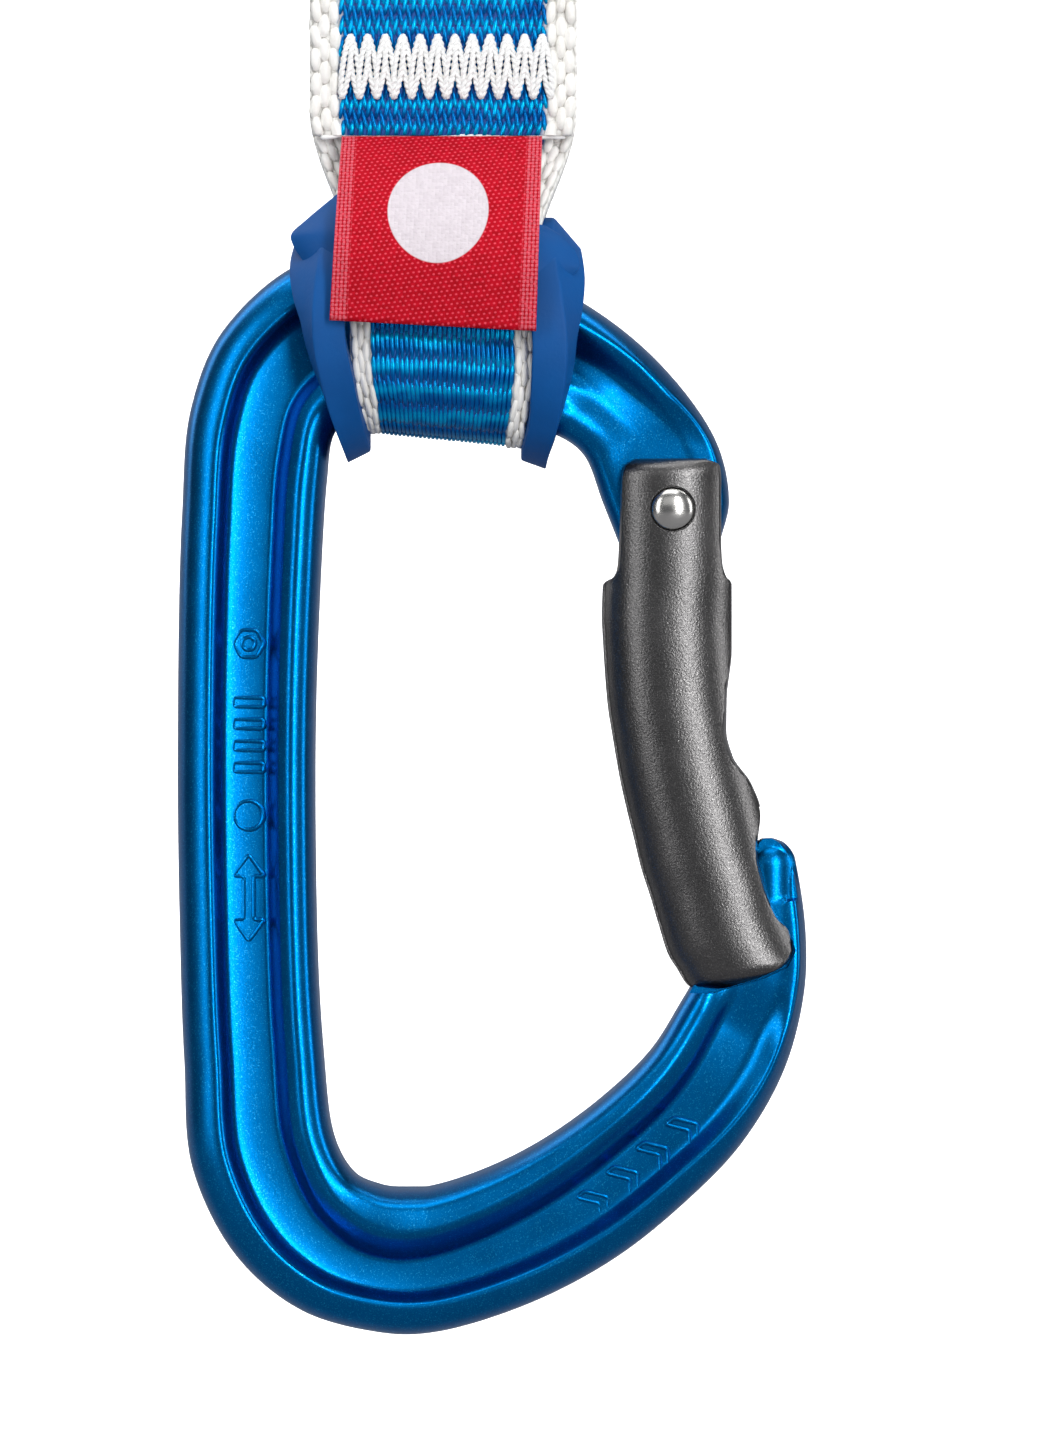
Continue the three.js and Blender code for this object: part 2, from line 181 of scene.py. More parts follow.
def evenly(points, count, even=False):
    """count points at equal distances along the curve through points."""
    points = np.asarray(points, float)
    chord = np.linalg.norm(np.diff(points, axis=0), axis=1)
    knots = np.concatenate([[0], np.cumsum(chord**0.5)])
    fine = through(knots, points, np.linspace(0, knots[-1], 40 * len(points)), even)
    run = run_of(fine)
    at = np.linspace(0, run[-1], count)
    return np.stack([np.interp(at, run, column) for column in fine.T], axis=1)


# ---------------------------------------------------------------- meshes

def at_rope_end(points):
    """A carabiner's own frame, with its basket seat at the origin, moved to the rope end."""
    return points + np.array([0, 0, ROPE_SEAT])


def at_bolt_end(points):
    """The same, turned half round X, with its basket seat at the part's origin."""
    return points * np.array([1, -1, -1])


def new_object(name, points, faces):
    """An object in the scene, with a mesh of points in millimetres."""
    mesh = bpy.data.meshes.new(name)
    mesh.from_pydata((np.asarray(points) * MM).tolist(), [], faces)
    obj = bpy.data.objects.new(name, mesh)
    bpy.context.scene.collection.objects.link(obj)
    return obj


def piece(name, points, faces, finish, body, uv=None, sharp=32, replaces=()):
    """A new object of one finish, shaded smooth up to the sharp angle, riding on a body."""
    obj = new_object(name, points, faces)
    if uv is not None:
        layer = obj.data.uv_layers.new(name="UVMap")
        corner = np.empty(len(obj.data.loops), np.int32)
        obj.data.loops.foreach_get("vertex_index", corner)
        layer.data.foreach_set("uv", np.asarray(uv, np.float32)[corner].ravel())
    finish_piece(obj, finish, body, sharp, replaces)
    return obj


def finish_piece(obj, finish, body, sharp=32, replaces=()):
    obj.data.materials.clear()
    obj.data.materials.append(FINISH[finish])
    obj.data.shade_smooth()
    obj.data.set_sharp_from_angle(angle=math.radians(sharp))
    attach(obj, body)
    if replaces:
        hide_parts(*replaces)


def grid_faces(rows, columns, close_rows=False, close_columns=False):
    """Quads between neighbours of a rows by columns grid of points."""
    i, j = np.meshgrid(
        np.arange(rows if close_rows else rows - 1),
        np.arange(columns if close_columns else columns - 1),
        indexing="ij",
    )
    a = i * columns + j
    b = i * columns + (j + 1) % columns
    c = (i + 1) % rows * columns + (j + 1) % columns
    d = (i + 1) % rows * columns + j
    return np.stack([a, b, c, d], axis=-1).reshape(-1, 4).tolist()


def end_fans(rings, sides):
    """Triangles that close a stack of rings on two points kept after them, the start's and the end's."""
    start, last = rings * sides, (rings - 1) * sides
    faces = [[start, (k + 1) % sides, k] for k in range(sides)]
    return faces + [[start + 1, last + k, last + (k + 1) % sides] for k in range(sides)]


def volume_of(points, faces):
    """Signed volume inside faces; its sign says whether they point outwards."""
    points = np.asarray(points, float)
    total = 0.0
    quads = np.array([f for f in faces if len(f) == 4])
    if len(quads):
        a, b, c, d = (points[quads[:, k]] for k in range(4))
        total += np.einsum("ij,ij->", a, np.cross(b, c)) + np.einsum("ij,ij->", a, np.cross(c, d))
    tris = np.array([f for f in faces if len(f) == 3])
    if len(tris):
        a, b, c = (points[tris[:, k]] for k in range(3))
        total += np.einsum("ij,ij->", a, np.cross(b, c))
    return total / 6


def facing_out(points, faces):
    return faces if volume_of(points, faces) > 0 else [f[::-1] for f in faces]


def flat_ended(grid):
    """Points and faces of a solid whose rings are the rows of grid, with one flat face on each end."""
    rows, columns = grid.shape[:2]
    faces = grid_faces(rows, columns, close_columns=True)
    faces.append(list(range(columns)))
    faces.append(list(range((rows - 1) * columns, rows * columns))[::-1])
    points = grid.reshape(-1, 3)
    return points, facing_out(points, faces)


def between(rails, share):
    """X and Z of the points a share of the way from the outer to the inner rail of each row."""
    return mix(rails[:, 0:1], rails[:, 2:3], share), mix(rails[:, 1:2], rails[:, 3:4], share)


def both_faces(x, z, half):
    """Rings that cross the front face at half before the middle plane and come back over the rear one."""
    front = np.stack([x, -half, z], axis=2)
    back = np.stack([x, half, z], axis=2)[:, -2:0:-1]
    return np.concatenate([front, back], axis=1)


def tube(path, radius, sides, closed=False):
    """Points and faces of a round tube along path. Its rings are turned to a fixed vector close to Y, and
    an open end closes on a point half a radius beyond the path."""
    path = np.asarray(path, float)
    if closed:
        along = np.roll(path, -1, axis=0) - np.roll(path, 1, axis=0)
    else:
        along = np.gradient(path, axis=0)
    along = unit(along)
    side = unit(np.cross(along, [0.0, 1.0, 0.02]))
    up = np.cross(side, along)
    angle = full_turn(sides)[None, :, None]
    radius = np.broadcast_to(np.asarray(radius, float), (len(path),))
    ring = np.cos(angle) * side[:, None, :] + np.sin(angle) * up[:, None, :]
    points = (path[:, None, :] + radius[:, None, None] * ring).reshape(-1, 3)
    faces = grid_faces(len(path), sides, close_rows=closed, close_columns=True)
    if not closed:
        tips = [path[0] - along[0] * radius[0] * 0.5, path[-1] + along[-1] * radius[-1] * 0.5]
        points = np.vstack([points, tips])
        faces += end_fans(len(path), sides)
    return points, facing_out(points, faces)


def joined(parts):
    """Several (points, faces) pairs as one."""
    points, faces, base = [], [], 0
    for p, f in parts:
        points.append(p)
        faces += [[k + base for k in face] for face in f]
        base += len(p)
    return np.vstack(points), faces


def prism(outline, from_y, to_y):
    """A flat outline of the X-Z plane carried along Y."""
    outline = np.asarray(outline, float)
    count = len(outline)
    front = np.insert(outline, 1, from_y, axis=1)
    back = np.insert(outline, 1, to_y, axis=1)
    faces = [[k, (k + 1) % count, count + (k + 1) % count, count + k] for k in range(count)]
    faces += [list(range(count))[::-1], list(range(count, 2 * count))]
    return np.vstack([front, back]), faces


def circle(x, z, radius, count):
    angle = full_turn(count)
    return np.stack([x + radius * np.cos(angle), z + radius * np.sin(angle)], axis=1)


def cut_away(obj, cutters):
    """Cuts closed solids out of an object, for good."""
    for k, (points, faces) in enumerate(cutters):
        cutter = new_object(f"cutter_{k}", points, faces)
        recalculate_normals(cutter)
        modifier = obj.modifiers.new("cut", "BOOLEAN")
        modifier.object = cutter
        modifier.operation = "DIFFERENCE"
        modifier.solver = "EXACT"
        apply_modifiers(obj)
        bpy.data.objects.remove(cutter)


def recalculate_normals(obj):
    bm = bmesh.new()
    bm.from_mesh(obj.data)
    bmesh.ops.recalc_face_normals(bm, faces=bm.faces)
    bm.to_mesh(obj.data)
    bm.free()


def apply_modifiers(obj):
    graph = bpy.context.evaluated_depsgraph_get()
    made = bpy.data.meshes.new_from_object(obj.evaluated_get(graph))
    obj.modifiers.clear()
    old = obj.data
    obj.data = made
    bpy.data.meshes.remove(old)


# ---------------------------------------------------------------- shader tools

class Nodes:
    """Short calls for building a material's or a group's node tree."""

    def __init__(self, tree):
        self.tree = tree

    def add(self, kind, **settings):
        node = self.tree.nodes.new(kind)
        for key, value in settings.items():
            setattr(node, key, value)
        return node

    def feed(self, source, target):
        if isinstance(source, (int, float, tuple)):
            target.default_value = source
        else:
            self.tree.links.new(source, target)

    def math(self, operation, a, b=0.0, c=0.0):
        node = self.add("ShaderNodeMath", operation=operation)
        for k, value in enumerate((a, b, c)):
            self.feed(value, node.inputs[k])
        return node.outputs[0]

    def noise(self, vector, scale, detail=2.0, roughness=0.5):
        node = self.add("ShaderNodeTexNoise")
        self.feed(vector, node.inputs["Vector"])
        self.feed(scale, node.inputs["Scale"])
        node.inputs["Detail"].default_value = detail
        node.inputs["Roughness"].default_value = roughness
        return node.outputs["Fac"]

    def span(self, value, low, high, to_low=0.0, to_high=1.0):
        node = self.add("ShaderNodeMapRange", clamp=True)
        for k, v in enumerate((value, low, high, to_low, to_high)):
            self.feed(v, node.inputs[k])
        return node.outputs[0]

    def blend(self, factor, a, b):
        node = self.add("ShaderNodeMix", data_type="RGBA")
        self.feed(factor, node.inputs[0])
        self.feed(a, node.inputs[6])
        self.feed(b, node.inputs[7])
        return node.outputs[2]

    def bump(self, height, strength, distance):
        node = self.add("ShaderNodeBump")
        node.inputs["Strength"].default_value = strength
        node.inputs["Distance"].default_value = distance
        self.feed(height, node.inputs["Height"])
        return node.outputs[0]

    def place(self, name="Object"):
        return self.add("ShaderNodeTexCoord").outputs[name]

    def parts(self, vector):
        node = self.add("ShaderNodeSeparateXYZ")
        self.feed(vector, node.inputs[0])
        return node.outputs


def shader_group(name, floats, outputs, build):
    """A shader node group: a vector input Place, float inputs with their defaults, and float outputs."""
    tree = bpy.data.node_groups.new(name, "ShaderNodeTree")
    tree.interface.new_socket("Place", in_out="INPUT", socket_type="NodeSocketVector")
    for label, default in floats.items():
        socket = tree.interface.new_socket(label, in_out="INPUT", socket_type="NodeSocketFloat")
        socket.default_value = default
    for label in outputs:
        tree.interface.new_socket(label, in_out="OUTPUT", socket_type="NodeSocketFloat")
    n = Nodes(tree)
    enter = n.add("NodeGroupInput")
    leave = n.add("NodeGroupOutput")
    build(n, enter.outputs, leave.inputs)
    return tree


def material(name, color, roughness, metallic=0.0, **settings):
    """A Principled material; the caller links what varies. Returns (material, nodes, principled)."""
    made = bpy.data.materials.new(name)
    made.use_nodes = True
    made.diffuse_color = color
    n = Nodes(made.node_tree)
    principled = made.node_tree.nodes["Principled BSDF"]
    principled.inputs["Base Color"].default_value = color
    principled.inputs["Roughness"].default_value = roughness
    principled.inputs["Metallic"].default_value = metallic
    for key, value in settings.items():
        principled.inputs[key.replace("_", " ")].default_value = value
    return made, n, principled


def use_group(n, group, **values):
    node = n.add("ShaderNodeGroup", node_tree=group)
    for key, value in values.items():
        n.feed(value, node.inputs[key])
    return node.outputs


def build_grain(n, enter, leave):
    """Fine pits and soft patches: two scales of noise, weighed together."""
    fine = n.noise(enter["Place"], 5200.0, 2.0, 0.6)
    coarse = n.noise(enter["Place"], 240.0, 3.0, 0.55)
    pits = n.math("MULTIPLY", fine, enter["Fine"])
    n.feed(n.math("MULTIPLY_ADD", coarse, enter["Coarse"], pits), leave["Height"])
    n.feed(n.span(coarse, 0.15, 0.85), leave["Patches"])
    speck = n.noise(enter["Place"], 8000.0, 1.0)
    n.feed(n.span(speck, 0.58, 0.75), leave["Specks"])


GRAIN = shader_group(
    "Metal grain", {"Fine": 1.0, "Coarse": 0.2}, ["Height", "Patches", "Specks"], build_grain)


def build_weave(n, enter, leave):
    """Warp-faced webbing: floats one row long and one end wide, leaning left and right in turn. Height is
    the round of each float across and along; tone is a different value for each float."""
    u, v = n.parts(enter["Place"])[:2]
    row = n.math("DIVIDE", v, enter["Row"])
    turn = n.math("FRACT", row)
    number = n.math("FLOOR", row)
    lean = n.math("SUBTRACT", n.math("MULTIPLY", n.math("FLOORED_MODULO", number, 2.0), 2.0), 1.0)
    shift = n.math("MULTIPLY", n.math("MULTIPLY", lean, enter["Lean"]), n.math("SUBTRACT", turn, 0.5))
    end = n.math("ADD", n.math("DIVIDE", u, enter["End"]), shift)
    across = n.math("SINE", n.math("MULTIPLY", n.math("FRACT", end), math.pi))
    along = n.math("SINE", n.math("MULTIPLY", turn, math.pi))
    full = n.math("POWER", n.math("MAXIMUM", across, 0.0), 0.7)
    height = n.math("MULTIPLY", full, n.math("ADD", n.math("MULTIPLY", along, 0.6), 0.4))
    n.feed(height, leave["Height"])
    cell = n.add("ShaderNodeCombineXYZ")
    n.feed(n.math("FLOOR", end), cell.inputs[0])
    n.feed(number, cell.inputs[1])
    white = n.add("ShaderNodeTexWhiteNoise", noise_dimensions="2D")
    n.feed(cell.outputs[0], white.inputs["Vector"])
    n.feed(white.outputs["Value"], leave["Tone"])


WEAVE = shader_group(
    "Warp-faced weave", {"End": 0.45, "Row": 1.0, "Lean": 0.5}, ["Height", "Tone"], build_weave)


def build_fibre(n, enter, leave):
    """Filament yarn: fine fibre noise for height and strand tint, and a slow cloud along the piece."""
    cloud = n.noise(enter["Place"], 420.0, 2.0)
    strand = n.noise(enter["Place"], enter["Scale"], 2.0, 0.6)
    n.feed(strand, leave["Height"])
    n.feed(n.span(strand, 0.3, 0.75), leave["Strand"])
    n.feed(n.span(cloud, 0.3, 0.7), leave["Cloud"])


FIBRE = shader_group(
    "Filament fibre", {"Scale": 4000.0}, ["Height", "Strand", "Cloud"], build_fibre)


# ---------------------------------------------------------------- materials

def anodised_blue():
    made, n, p = material("anodised_blue", (0.0, 0.145, 0.43, 1), 0.28, 1.0)
    grain = use_group(n, GRAIN, Place=n.place(), Fine=0.5, Coarse=0.35)
    tint = n.blend(grain["Patches"], (0.0, 0.120, 0.36, 1), (0.0, 0.146, 0.42, 1))
    specks = n.math("MULTIPLY", grain["Specks"], 0.8)
    n.feed(n.blend(specks, tint, (0.02, 0.34, 0.70, 1)), p.inputs["Base Color"])
    n.feed(n.span(grain["Patches"], 0.0, 1.0, 0.28, 0.33), p.inputs["Roughness"])
    n.feed(n.bump(grain["Height"], 0.26, 0.00006), p.inputs["Normal"])
    return made


def gate_grey():
    made, n, p = material("gate_grey", (0.13, 0.128, 0.128, 1), 0.30, 1.0)
    grain = use_group(n, GRAIN, Place=n.place(), Fine=1.0, Coarse=0.15)
    tint = n.blend(grain["Patches"], (0.098, 0.096, 0.096, 1), (0.12, 0.117, 0.118, 1))
    specks = n.math("MULTIPLY", grain["Specks"], 0.7)
    n.feed(n.blend(specks, tint, (0.26, 0.255, 0.25, 1)), p.inputs["Base Color"])
    n.feed(n.span(grain["Patches"], 0.0, 1.0, 0.28, 0.32), p.inputs["Roughness"])
    n.feed(n.bump(grain["Height"], 0.4, 0.00008), p.inputs["Normal"])
    return made


def bright_steel(name, roughness):
    made, n, p = material(name, (0.56, 0.55, 0.53, 1), roughness, 1.0)
    grain = use_group(n, GRAIN, Place=n.place(), Fine=0.4, Coarse=0.6)
    n.feed(n.blend(grain["Patches"], (0.50, 0.49, 0.47, 1), (0.66, 0.65, 0.63, 1)), p.inputs["Base Color"])
    n.feed(n.span(grain["Patches"], 0.0, 1.0, roughness, roughness + 0.08), p.inputs["Roughness"])
    n.feed(n.bump(grain["Height"], 0.12, 0.00005), p.inputs["Normal"])
    return made


def webbing():
    """Blue warp between off-white selvedges. The UV map holds millimetres: U from the middle line, V along
    the strap, and the attribute 'edge' is 1 on the selvedges."""
    made, n, p = material("webbing", (0.0, 0.06, 0.3, 1), 0.6, 0.0, Sheen_Weight=0.2, Sheen_Roughness=0.4)
    place = n.place("UV")
    edge = n.add("ShaderNodeAttribute", attribute_name="edge").outputs["Fac"]
    middle = use_group(n, WEAVE, Place=place, End=0.44, Row=1.0, Lean=0.85)
    border = use_group(n, WEAVE, Place=place, End=0.80, Row=0.82, Lean=0.25)
    # Painted highlight: the floats' crests are blended to a lighter blue, stronger on rows that wander along
    # the strap.
    rows = n.noise(n.parts(place)[1], 0.55, 1.0)
    blue = n.blend(n.span(middle["Tone"], 0.0, 1.0), (0.0, 0.04, 0.24, 1), (0.0, 0.08, 0.36, 1))
    painted_crest_highlight = n.math("MULTIPLY", n.span(middle["Height"], 0.45, 1.0), n.span(rows, 0.42, 0.62, 0.15, 0.75))
    blue = n.blend(painted_crest_highlight, blue, (0.0, 0.16, 0.50, 1))
    # Painted shade: where the floats dip low, between them, the blue is blended to a near-black navy.
    dark_tone_and_shade = n.span(middle["Height"], 0.0, 0.35)
    blue = n.blend(dark_tone_and_shade, (0.0, 0.025, 0.17, 1), blue)
    # Painted shade: the off-white selvedge is blended to a greyer colour where its floats dip low.
    white = n.blend(n.span(border["Height"], 0.0, 0.6), (0.62, 0.60, 0.55, 1), (0.9, 0.89, 0.86, 1))
    n.feed(n.blend(edge, blue, white), p.inputs["Base Color"])
    height = n.add("ShaderNodeMix", data_type="FLOAT")
    n.feed(edge, height.inputs[0])
    n.feed(middle["Height"], height.inputs[2])
    n.feed(n.math("MULTIPLY", border["Height"], 1.5), height.inputs[3])
    n.feed(n.bump(height.outputs[0], 0.9, 0.00016), p.inputs["Normal"])
    return made


def yarn(name, base, dark_tone_and_shade, light_tone_and_highlight, glint, rough, thread_scale, metallic, painted_band_strength):
    """Glossy filament yarn: fine fibres along the strap, a tint of its own for each few millimetres, and
    crosswise bands of painted highlight and painted shade, as strong as painted_band_strength."""
    made, n, p = material(name, base, rough, metallic, Specular_IOR_Level=0.7)
    p.inputs["Specular Tint"].default_value = glint
    fibre = use_group(n, FIBRE, Place=n.place(), Scale=thread_scale)
    tint = n.blend(fibre["Cloud"], dark_tone_and_shade, light_tone_and_highlight)
    tint = n.blend(fibre["Strand"], tint, base)
    wobble = n.math("MULTIPLY", fibre["Cloud"], 1.6)
    # Painted highlight and painted shade: bands across the strap at a fixed pitch of height, lighter where
    # the wave is high and darker where it is low.
    rows = n.math("SINE", n.math("MULTIPLY_ADD", n.parts(n.place())[2], 2 * math.pi / PAINTED_BAND_PITCH_M, wobble))
    tint = n.blend(n.span(rows, -0.9, 0.1, painted_band_strength, 0.0), tint, dark_tone_and_shade)
    n.feed(n.blend(n.span(rows, 0.3, 0.95, 0.0, painted_band_strength), tint, light_tone_and_highlight), p.inputs["Base Color"])
    n.feed(n.bump(fibre["Height"], 0.25, 0.00005), p.inputs["Normal"])
    return made


def tack_thread():
    made, n, p = material("tack_thread", (0.92, 0.92, 0.91, 1), 0.6, 0.0)
    fibre = use_group(n, FIBRE, Place=n.place(), Scale=3800.0)
    n.feed(n.blend(fibre["Strand"], (0.82, 0.82, 0.82, 1), (0.95, 0.95, 0.94, 1)), p.inputs["Base Color"])
    n.feed(n.bump(fibre["Height"], 0.35, 0.00008), p.inputs["Normal"])
    return made


def label_red():
    """Damask label: red satin ground with rows of paler binding points, denser pale edges and a plain disc.
    The UV map holds millimetres from the label's middle."""
    made, n, p = material("label_red", (0.5, 0.004, 0.015, 1), 0.65, 0.0, Specular_IOR_Level=0.08)
    place = n.place("UV")
    u, v = n.parts(place)[:2]
    ground = use_group(n, WEAVE, Place=place, End=0.36, Row=0.36, Lean=0.0)
    slant = n.math("ADD", n.math("DIVIDE", u, 0.52), n.math("DIVIDE", v, 3.0))
    rise = n.math("SUBTRACT", n.math("DIVIDE", v, 0.42), n.math("MULTIPLY", u, 0.42))
    stagger = n.math("MULTIPLY", n.math("FLOOR", rise), 0.5)
    dot_u = n.math("SUBTRACT", n.math("FRACT", n.math("ADD", slant, stagger)), 0.5)
    dot_v = n.math("SUBTRACT", n.math("FRACT", rise), 0.5)
    far = n.math("ADD", n.math("MULTIPLY", dot_u, dot_u), n.math("MULTIPLY", dot_v, dot_v))
    dot = n.span(far, 0.015, 0.085, 1.0, 0.0)
    red = n.blend(ground["Tone"], (0.37, 0.001, 0.008, 1), (0.49, 0.002, 0.014, 1))
    red = n.blend(n.math("MULTIPLY", dot, 0.6), red, (0.90, 0.10, 0.15, 1))
    side = n.span(n.math("ABSOLUTE", u), 7.75, 7.95)
    cross = n.math("MULTIPLY", side, n.span(ground["Height"], 0.45, 0.6))
    red = n.blend(n.math("MULTIPLY", cross, 0.4), red, (0.80, 0.22, 0.28, 1))
    up = n.math("MULTIPLY", n.math("SUBTRACT", v, 1.0), 0.88)
    away = n.math("SQRT", n.math("ADD", n.math("MULTIPLY", u, u), n.math("MULTIPLY", up, up)))
    disc = n.span(away, 4.55, 4.65, 1.0, 0.0)
    pale = n.blend(ground["Tone"], (0.62, 0.56, 0.60, 1), (0.69, 0.63, 0.67, 1))
    n.feed(n.blend(disc, red, pale), p.inputs["Base Color"])
    height = n.math("ADD", n.math("MULTIPLY", ground["Height"], 0.6), n.math("MULTIPLY", dot, 0.6))
    n.feed(n.bump(height, 0.6, 0.00007), p.inputs["Normal"])
    return made


def keeper_rubber():
    made, n, p = material("keeper_rubber", (0.0, 0.09, 0.33, 1), 0.6, 0.0, Specular_IOR_Level=0.2)
    place = n.place()
    cloud = n.noise(place, 160.0, 3.0)
    fine = n.noise(place, 3000.0, 2.0, 0.6)
    tint = n.blend(n.span(cloud, 0.3, 0.7), (0.0, 0.064, 0.25, 1), (0.0, 0.082, 0.31, 1))
    n.feed(tint, p.inputs["Base Color"])
    n.feed(n.span(cloud, 0.3, 0.7, 0.5, 0.62), p.inputs["Roughness"])
    n.feed(n.bump(fine, 0.22, 0.00008), p.inputs["Normal"])
    return made


FINISH = {
    "anodised_blue": anodised_blue(),
    "gate_grey": gate_grey(),
    "rivet_steel": bright_steel("rivet_steel", 0.2),
    "spring_steel": bright_steel("spring_steel", 0.32),
    "webbing": webbing(),
    "yarn_blue": yarn(
        "yarn_blue", base=(0.0, 0.18, 0.54, 1), dark_tone_and_shade=(0.0, 0.07, 0.33, 1), light_tone_and_highlight=(0.0, 0.44, 0.80, 1),
        glint=(0.1, 0.85, 1.0, 1), rough=0.28, thread_scale=5200.0, metallic=0.55, painted_band_strength=0.75),
    "yarn_white": yarn(
        "yarn_white", base=(0.90, 0.885, 0.85, 1), dark_tone_and_shade=(0.80, 0.78, 0.73, 1), light_tone_and_highlight=(0.94, 0.93, 0.91, 1),
        glint=(1.0, 1.0, 1.0, 1), rough=0.42, thread_scale=4200.0, metallic=0.0, painted_band_strength=0.0),
    "tack_thread": tack_thread(),
    "label_red": label_red(),
    "keeper_rubber": keeper_rubber(),
}


# ---------------------------------------------------------------- forged body

# From the tang at the hinge, over the top bar, down the spine and round the basket to the nose:
# outer X and Z, inner X and Z. The seat at stations 17 and 18 is flat.
BODY_STATIONS = np.array([
    [28.3, 59.3, 19.2, 58.7], [29.15, 63.4, 17.5, 63.0], [27.7, 69.2, 15.8, 67.3], [22.6, 76.0, 12.6, 69.5],
    [15.6, 81.5, 8.5, 70.5], [6.2, 85.6, 3.0, 71.3], [-3.0, 86.8, -1.5, 71.8], [-11.3, 84.6, -5.3, 71.1],
    [-17.5, 78.9, -7.3, 69.2], [-20.4, 72.0, -7.9, 65.1], [-21.3, 62.0, -8.4, 57.5],
    [-21.7, 41.1, -8.95, 41.0], [-21.5, 23.6, -8.75, 22.0], [-21.1, 11.6, -8.2, 12.5],
    [-20.2, 1.2, -7.3, 5.0], [-16.0, -6.8, -5.4, 1.4], [-10.0, -11.6, -3.0, 0.25], [-3.0, -13.5, -1.2, 0.0],
    [1.8, -13.5, 1.2, 0.0], [10.3, -11.0, 6.2, 1.5], [18.4, -6.8, 11.7, 4.2], [25.3, -1.3, 17.2, 8.1],
    [30.5, 4.2, 21.8, 12.5], [34.3, 10.9, 24.8, 17.2], [36.1, 18.1, 27.3, 21.5], [36.2, 23.6, 28.9, 24.3],
    [35.4, 29.4, 30.5, 27.9], [35.0, 30.8, 30.8, 30.2], [34.2, 31.7, 31.3, 31.5], [33.2, 32.1, 32.1, 32.05],
])

# Half sections, from the outer edge to the inner: share of the width and half thickness. The points are
# the outer round, the crest of the outer flange, the channel's floor, the inner ridge and the inner bead.
SECTION_KEYS = {
    0: [(0, 0), (.02, 1), (.06, 1.7), (.14, 2.15), (.18, 2.2), (.27, 2.2), (.5, 2.2), (.6, 2.2), (.7, 2.2),
        (.8, 2.2), (.9, 2), (.98, 1.1), (1, 0)],
    2: [(0, 0), (.02, 1.1), (.06, 2.2), (.13, 3.1), (.16, 3), (.27, 2.3), (.5, 2.25), (.6, 2.25),
        (.7, 2.25), (.8, 2.25), (.9, 2.1), (.98, 1.2), (1, 0)],
    3: [(0, 0), (.015, 1.1), (.06, 2.5), (.14, 3.6), (.18, 3.5), (.34, 2), (.5, 2.2), (.6, 2.35),
        (.7, 2.35), (.8, 2.5), (.9, 2.3), (.98, 1.3), (1, 0)],
    4: [(0, 0), (.015, 1.1), (.06, 2.6), (.17, 3.7), (.21, 3.5), (.37, 1.4), (.46, 1.4), (.6, 2.5),
        (.66, 2.7), (.8, 3.8), (.9, 3.5), (.98, 1.9), (1, 0)],
    5: [(0, 0), (.013, 1.1), (.06, 2.6), (.2, 3.75), (.23, 3.6), (.36, 1.6), (.58, 1.6), (.69, 3.1),
        (.72, 3.5), (.82, 4.3), (.91, 3.9), (.985, 2.1), (1, 0)],
    7: [(0, 0), (.012, 1.1), (.07, 2.7), (.225, 3.75), (.25, 3.6), (.345, 1.95), (.635, 1.6), (.725, 3.6),
        (.75, 3.85), (.83, 4.4), (.92, 3.95), (.985, 2.2), (1, 0)],
    14: [(0, 0), (.012, 1.1), (.07, 2.7), (.235, 3.75), (.26, 3.6), (.35, 1.95), (.635, 1.6), (.73, 3.7),
         (.755, 3.95), (.83, 4.45), (.92, 4), (.985, 2.2), (1, 0)],
    17: [(0, 0), (.012, 1.1), (.065, 2.6), (.205, 3.7), (.225, 3.55), (.31, 1.9), (.49, 1.6), (.57, 3),
         (.61, 3.8), (.71, 5.1), (.86, 4.8), (.97, 2.5), (1, 0)],
    21: [(0, 0), (.012, 1.1), (.065, 2.6), (.2, 3.7), (.22, 3.5), (.34, 1.9), (.59, 1.65), (.68, 3.4),
         (.71, 3.7), (.8, 4.6), (.9, 4.2), (.98, 2.2), (1, 0)],
    23: [(0, 0), (.015, 1.1), (.06, 2.6), (.12, 3.5), (.16, 3.2), (.34, 2.2), (.62, 2.3), (.71, 3.3),
         (.74, 3.5), (.83, 3.8), (.91, 3.4), (.985, 1.9), (1, 0)],
    24: [(0, 0), (.02, 1), (.05, 2), (.09, 2.9), (.13, 3), (.3, 2.9), (.55, 2.9), (.7, 2.95), (.78, 3),
         (.86, 3), (.92, 2.7), (.98, 1.5), (1, 0)],
    28: [(0, 0), (.03, .9), (.1, 1.6), (.2, 2.1), (.3, 2.3), (.4, 2.4), (.5, 2.4), (.6, 2.4), (.7, 2.3),
         (.8, 2.1), (.9, 1.6), (.97, .9), (1, 0)],
}


def milled_half(x, z, half):
    """Half thickness after milling. Round the pivot the body thins to the tang, in a long ramp. The nose is
    no thicker than NOSE_HALF, with a groove at its step; above the step it is a tongue with a dome on it."""
    from_pivot = np.hypot(x - PIVOT_X, z - PIVOT_Z)
    ramp = mix(TANG_HALF + 0.1, 5.0, smooth(from_pivot, TANG_REACH, RAMP_REACH))
    soft = 0.12
    thinned = -soft * np.logaddexp(-half / soft, -ramp / soft)
    half = np.maximum(np.where(from_pivot < RAMP_REACH + 1, thinned, half), 0)
    groove = GROOVE_DEEP * (1 - smooth(np.abs(z - NOSE_STEP), 0.05, GROOVE_HALF))
    at_nose = (x > 26) & (z > NOSE_STEP - GROOVE_HALF) & (z < 40)
    from_middle = np.hypot(x - KNOB_X, np.maximum(z - KNOB_Z, 0)) / KNOB_RADIUS
    dome = 0.95 * KNOB_RADIUS * np.sqrt(np.clip(1 - from_middle**2, 0, 1)) * smooth(half, 0, 0.8)
    knob = np.where(z > NOSE_STEP, np.maximum(np.minimum(half, TONGUE_HALF), dome), half)
    return np.where(at_nose, np.minimum(knob, NOSE_HALF - groove), half)


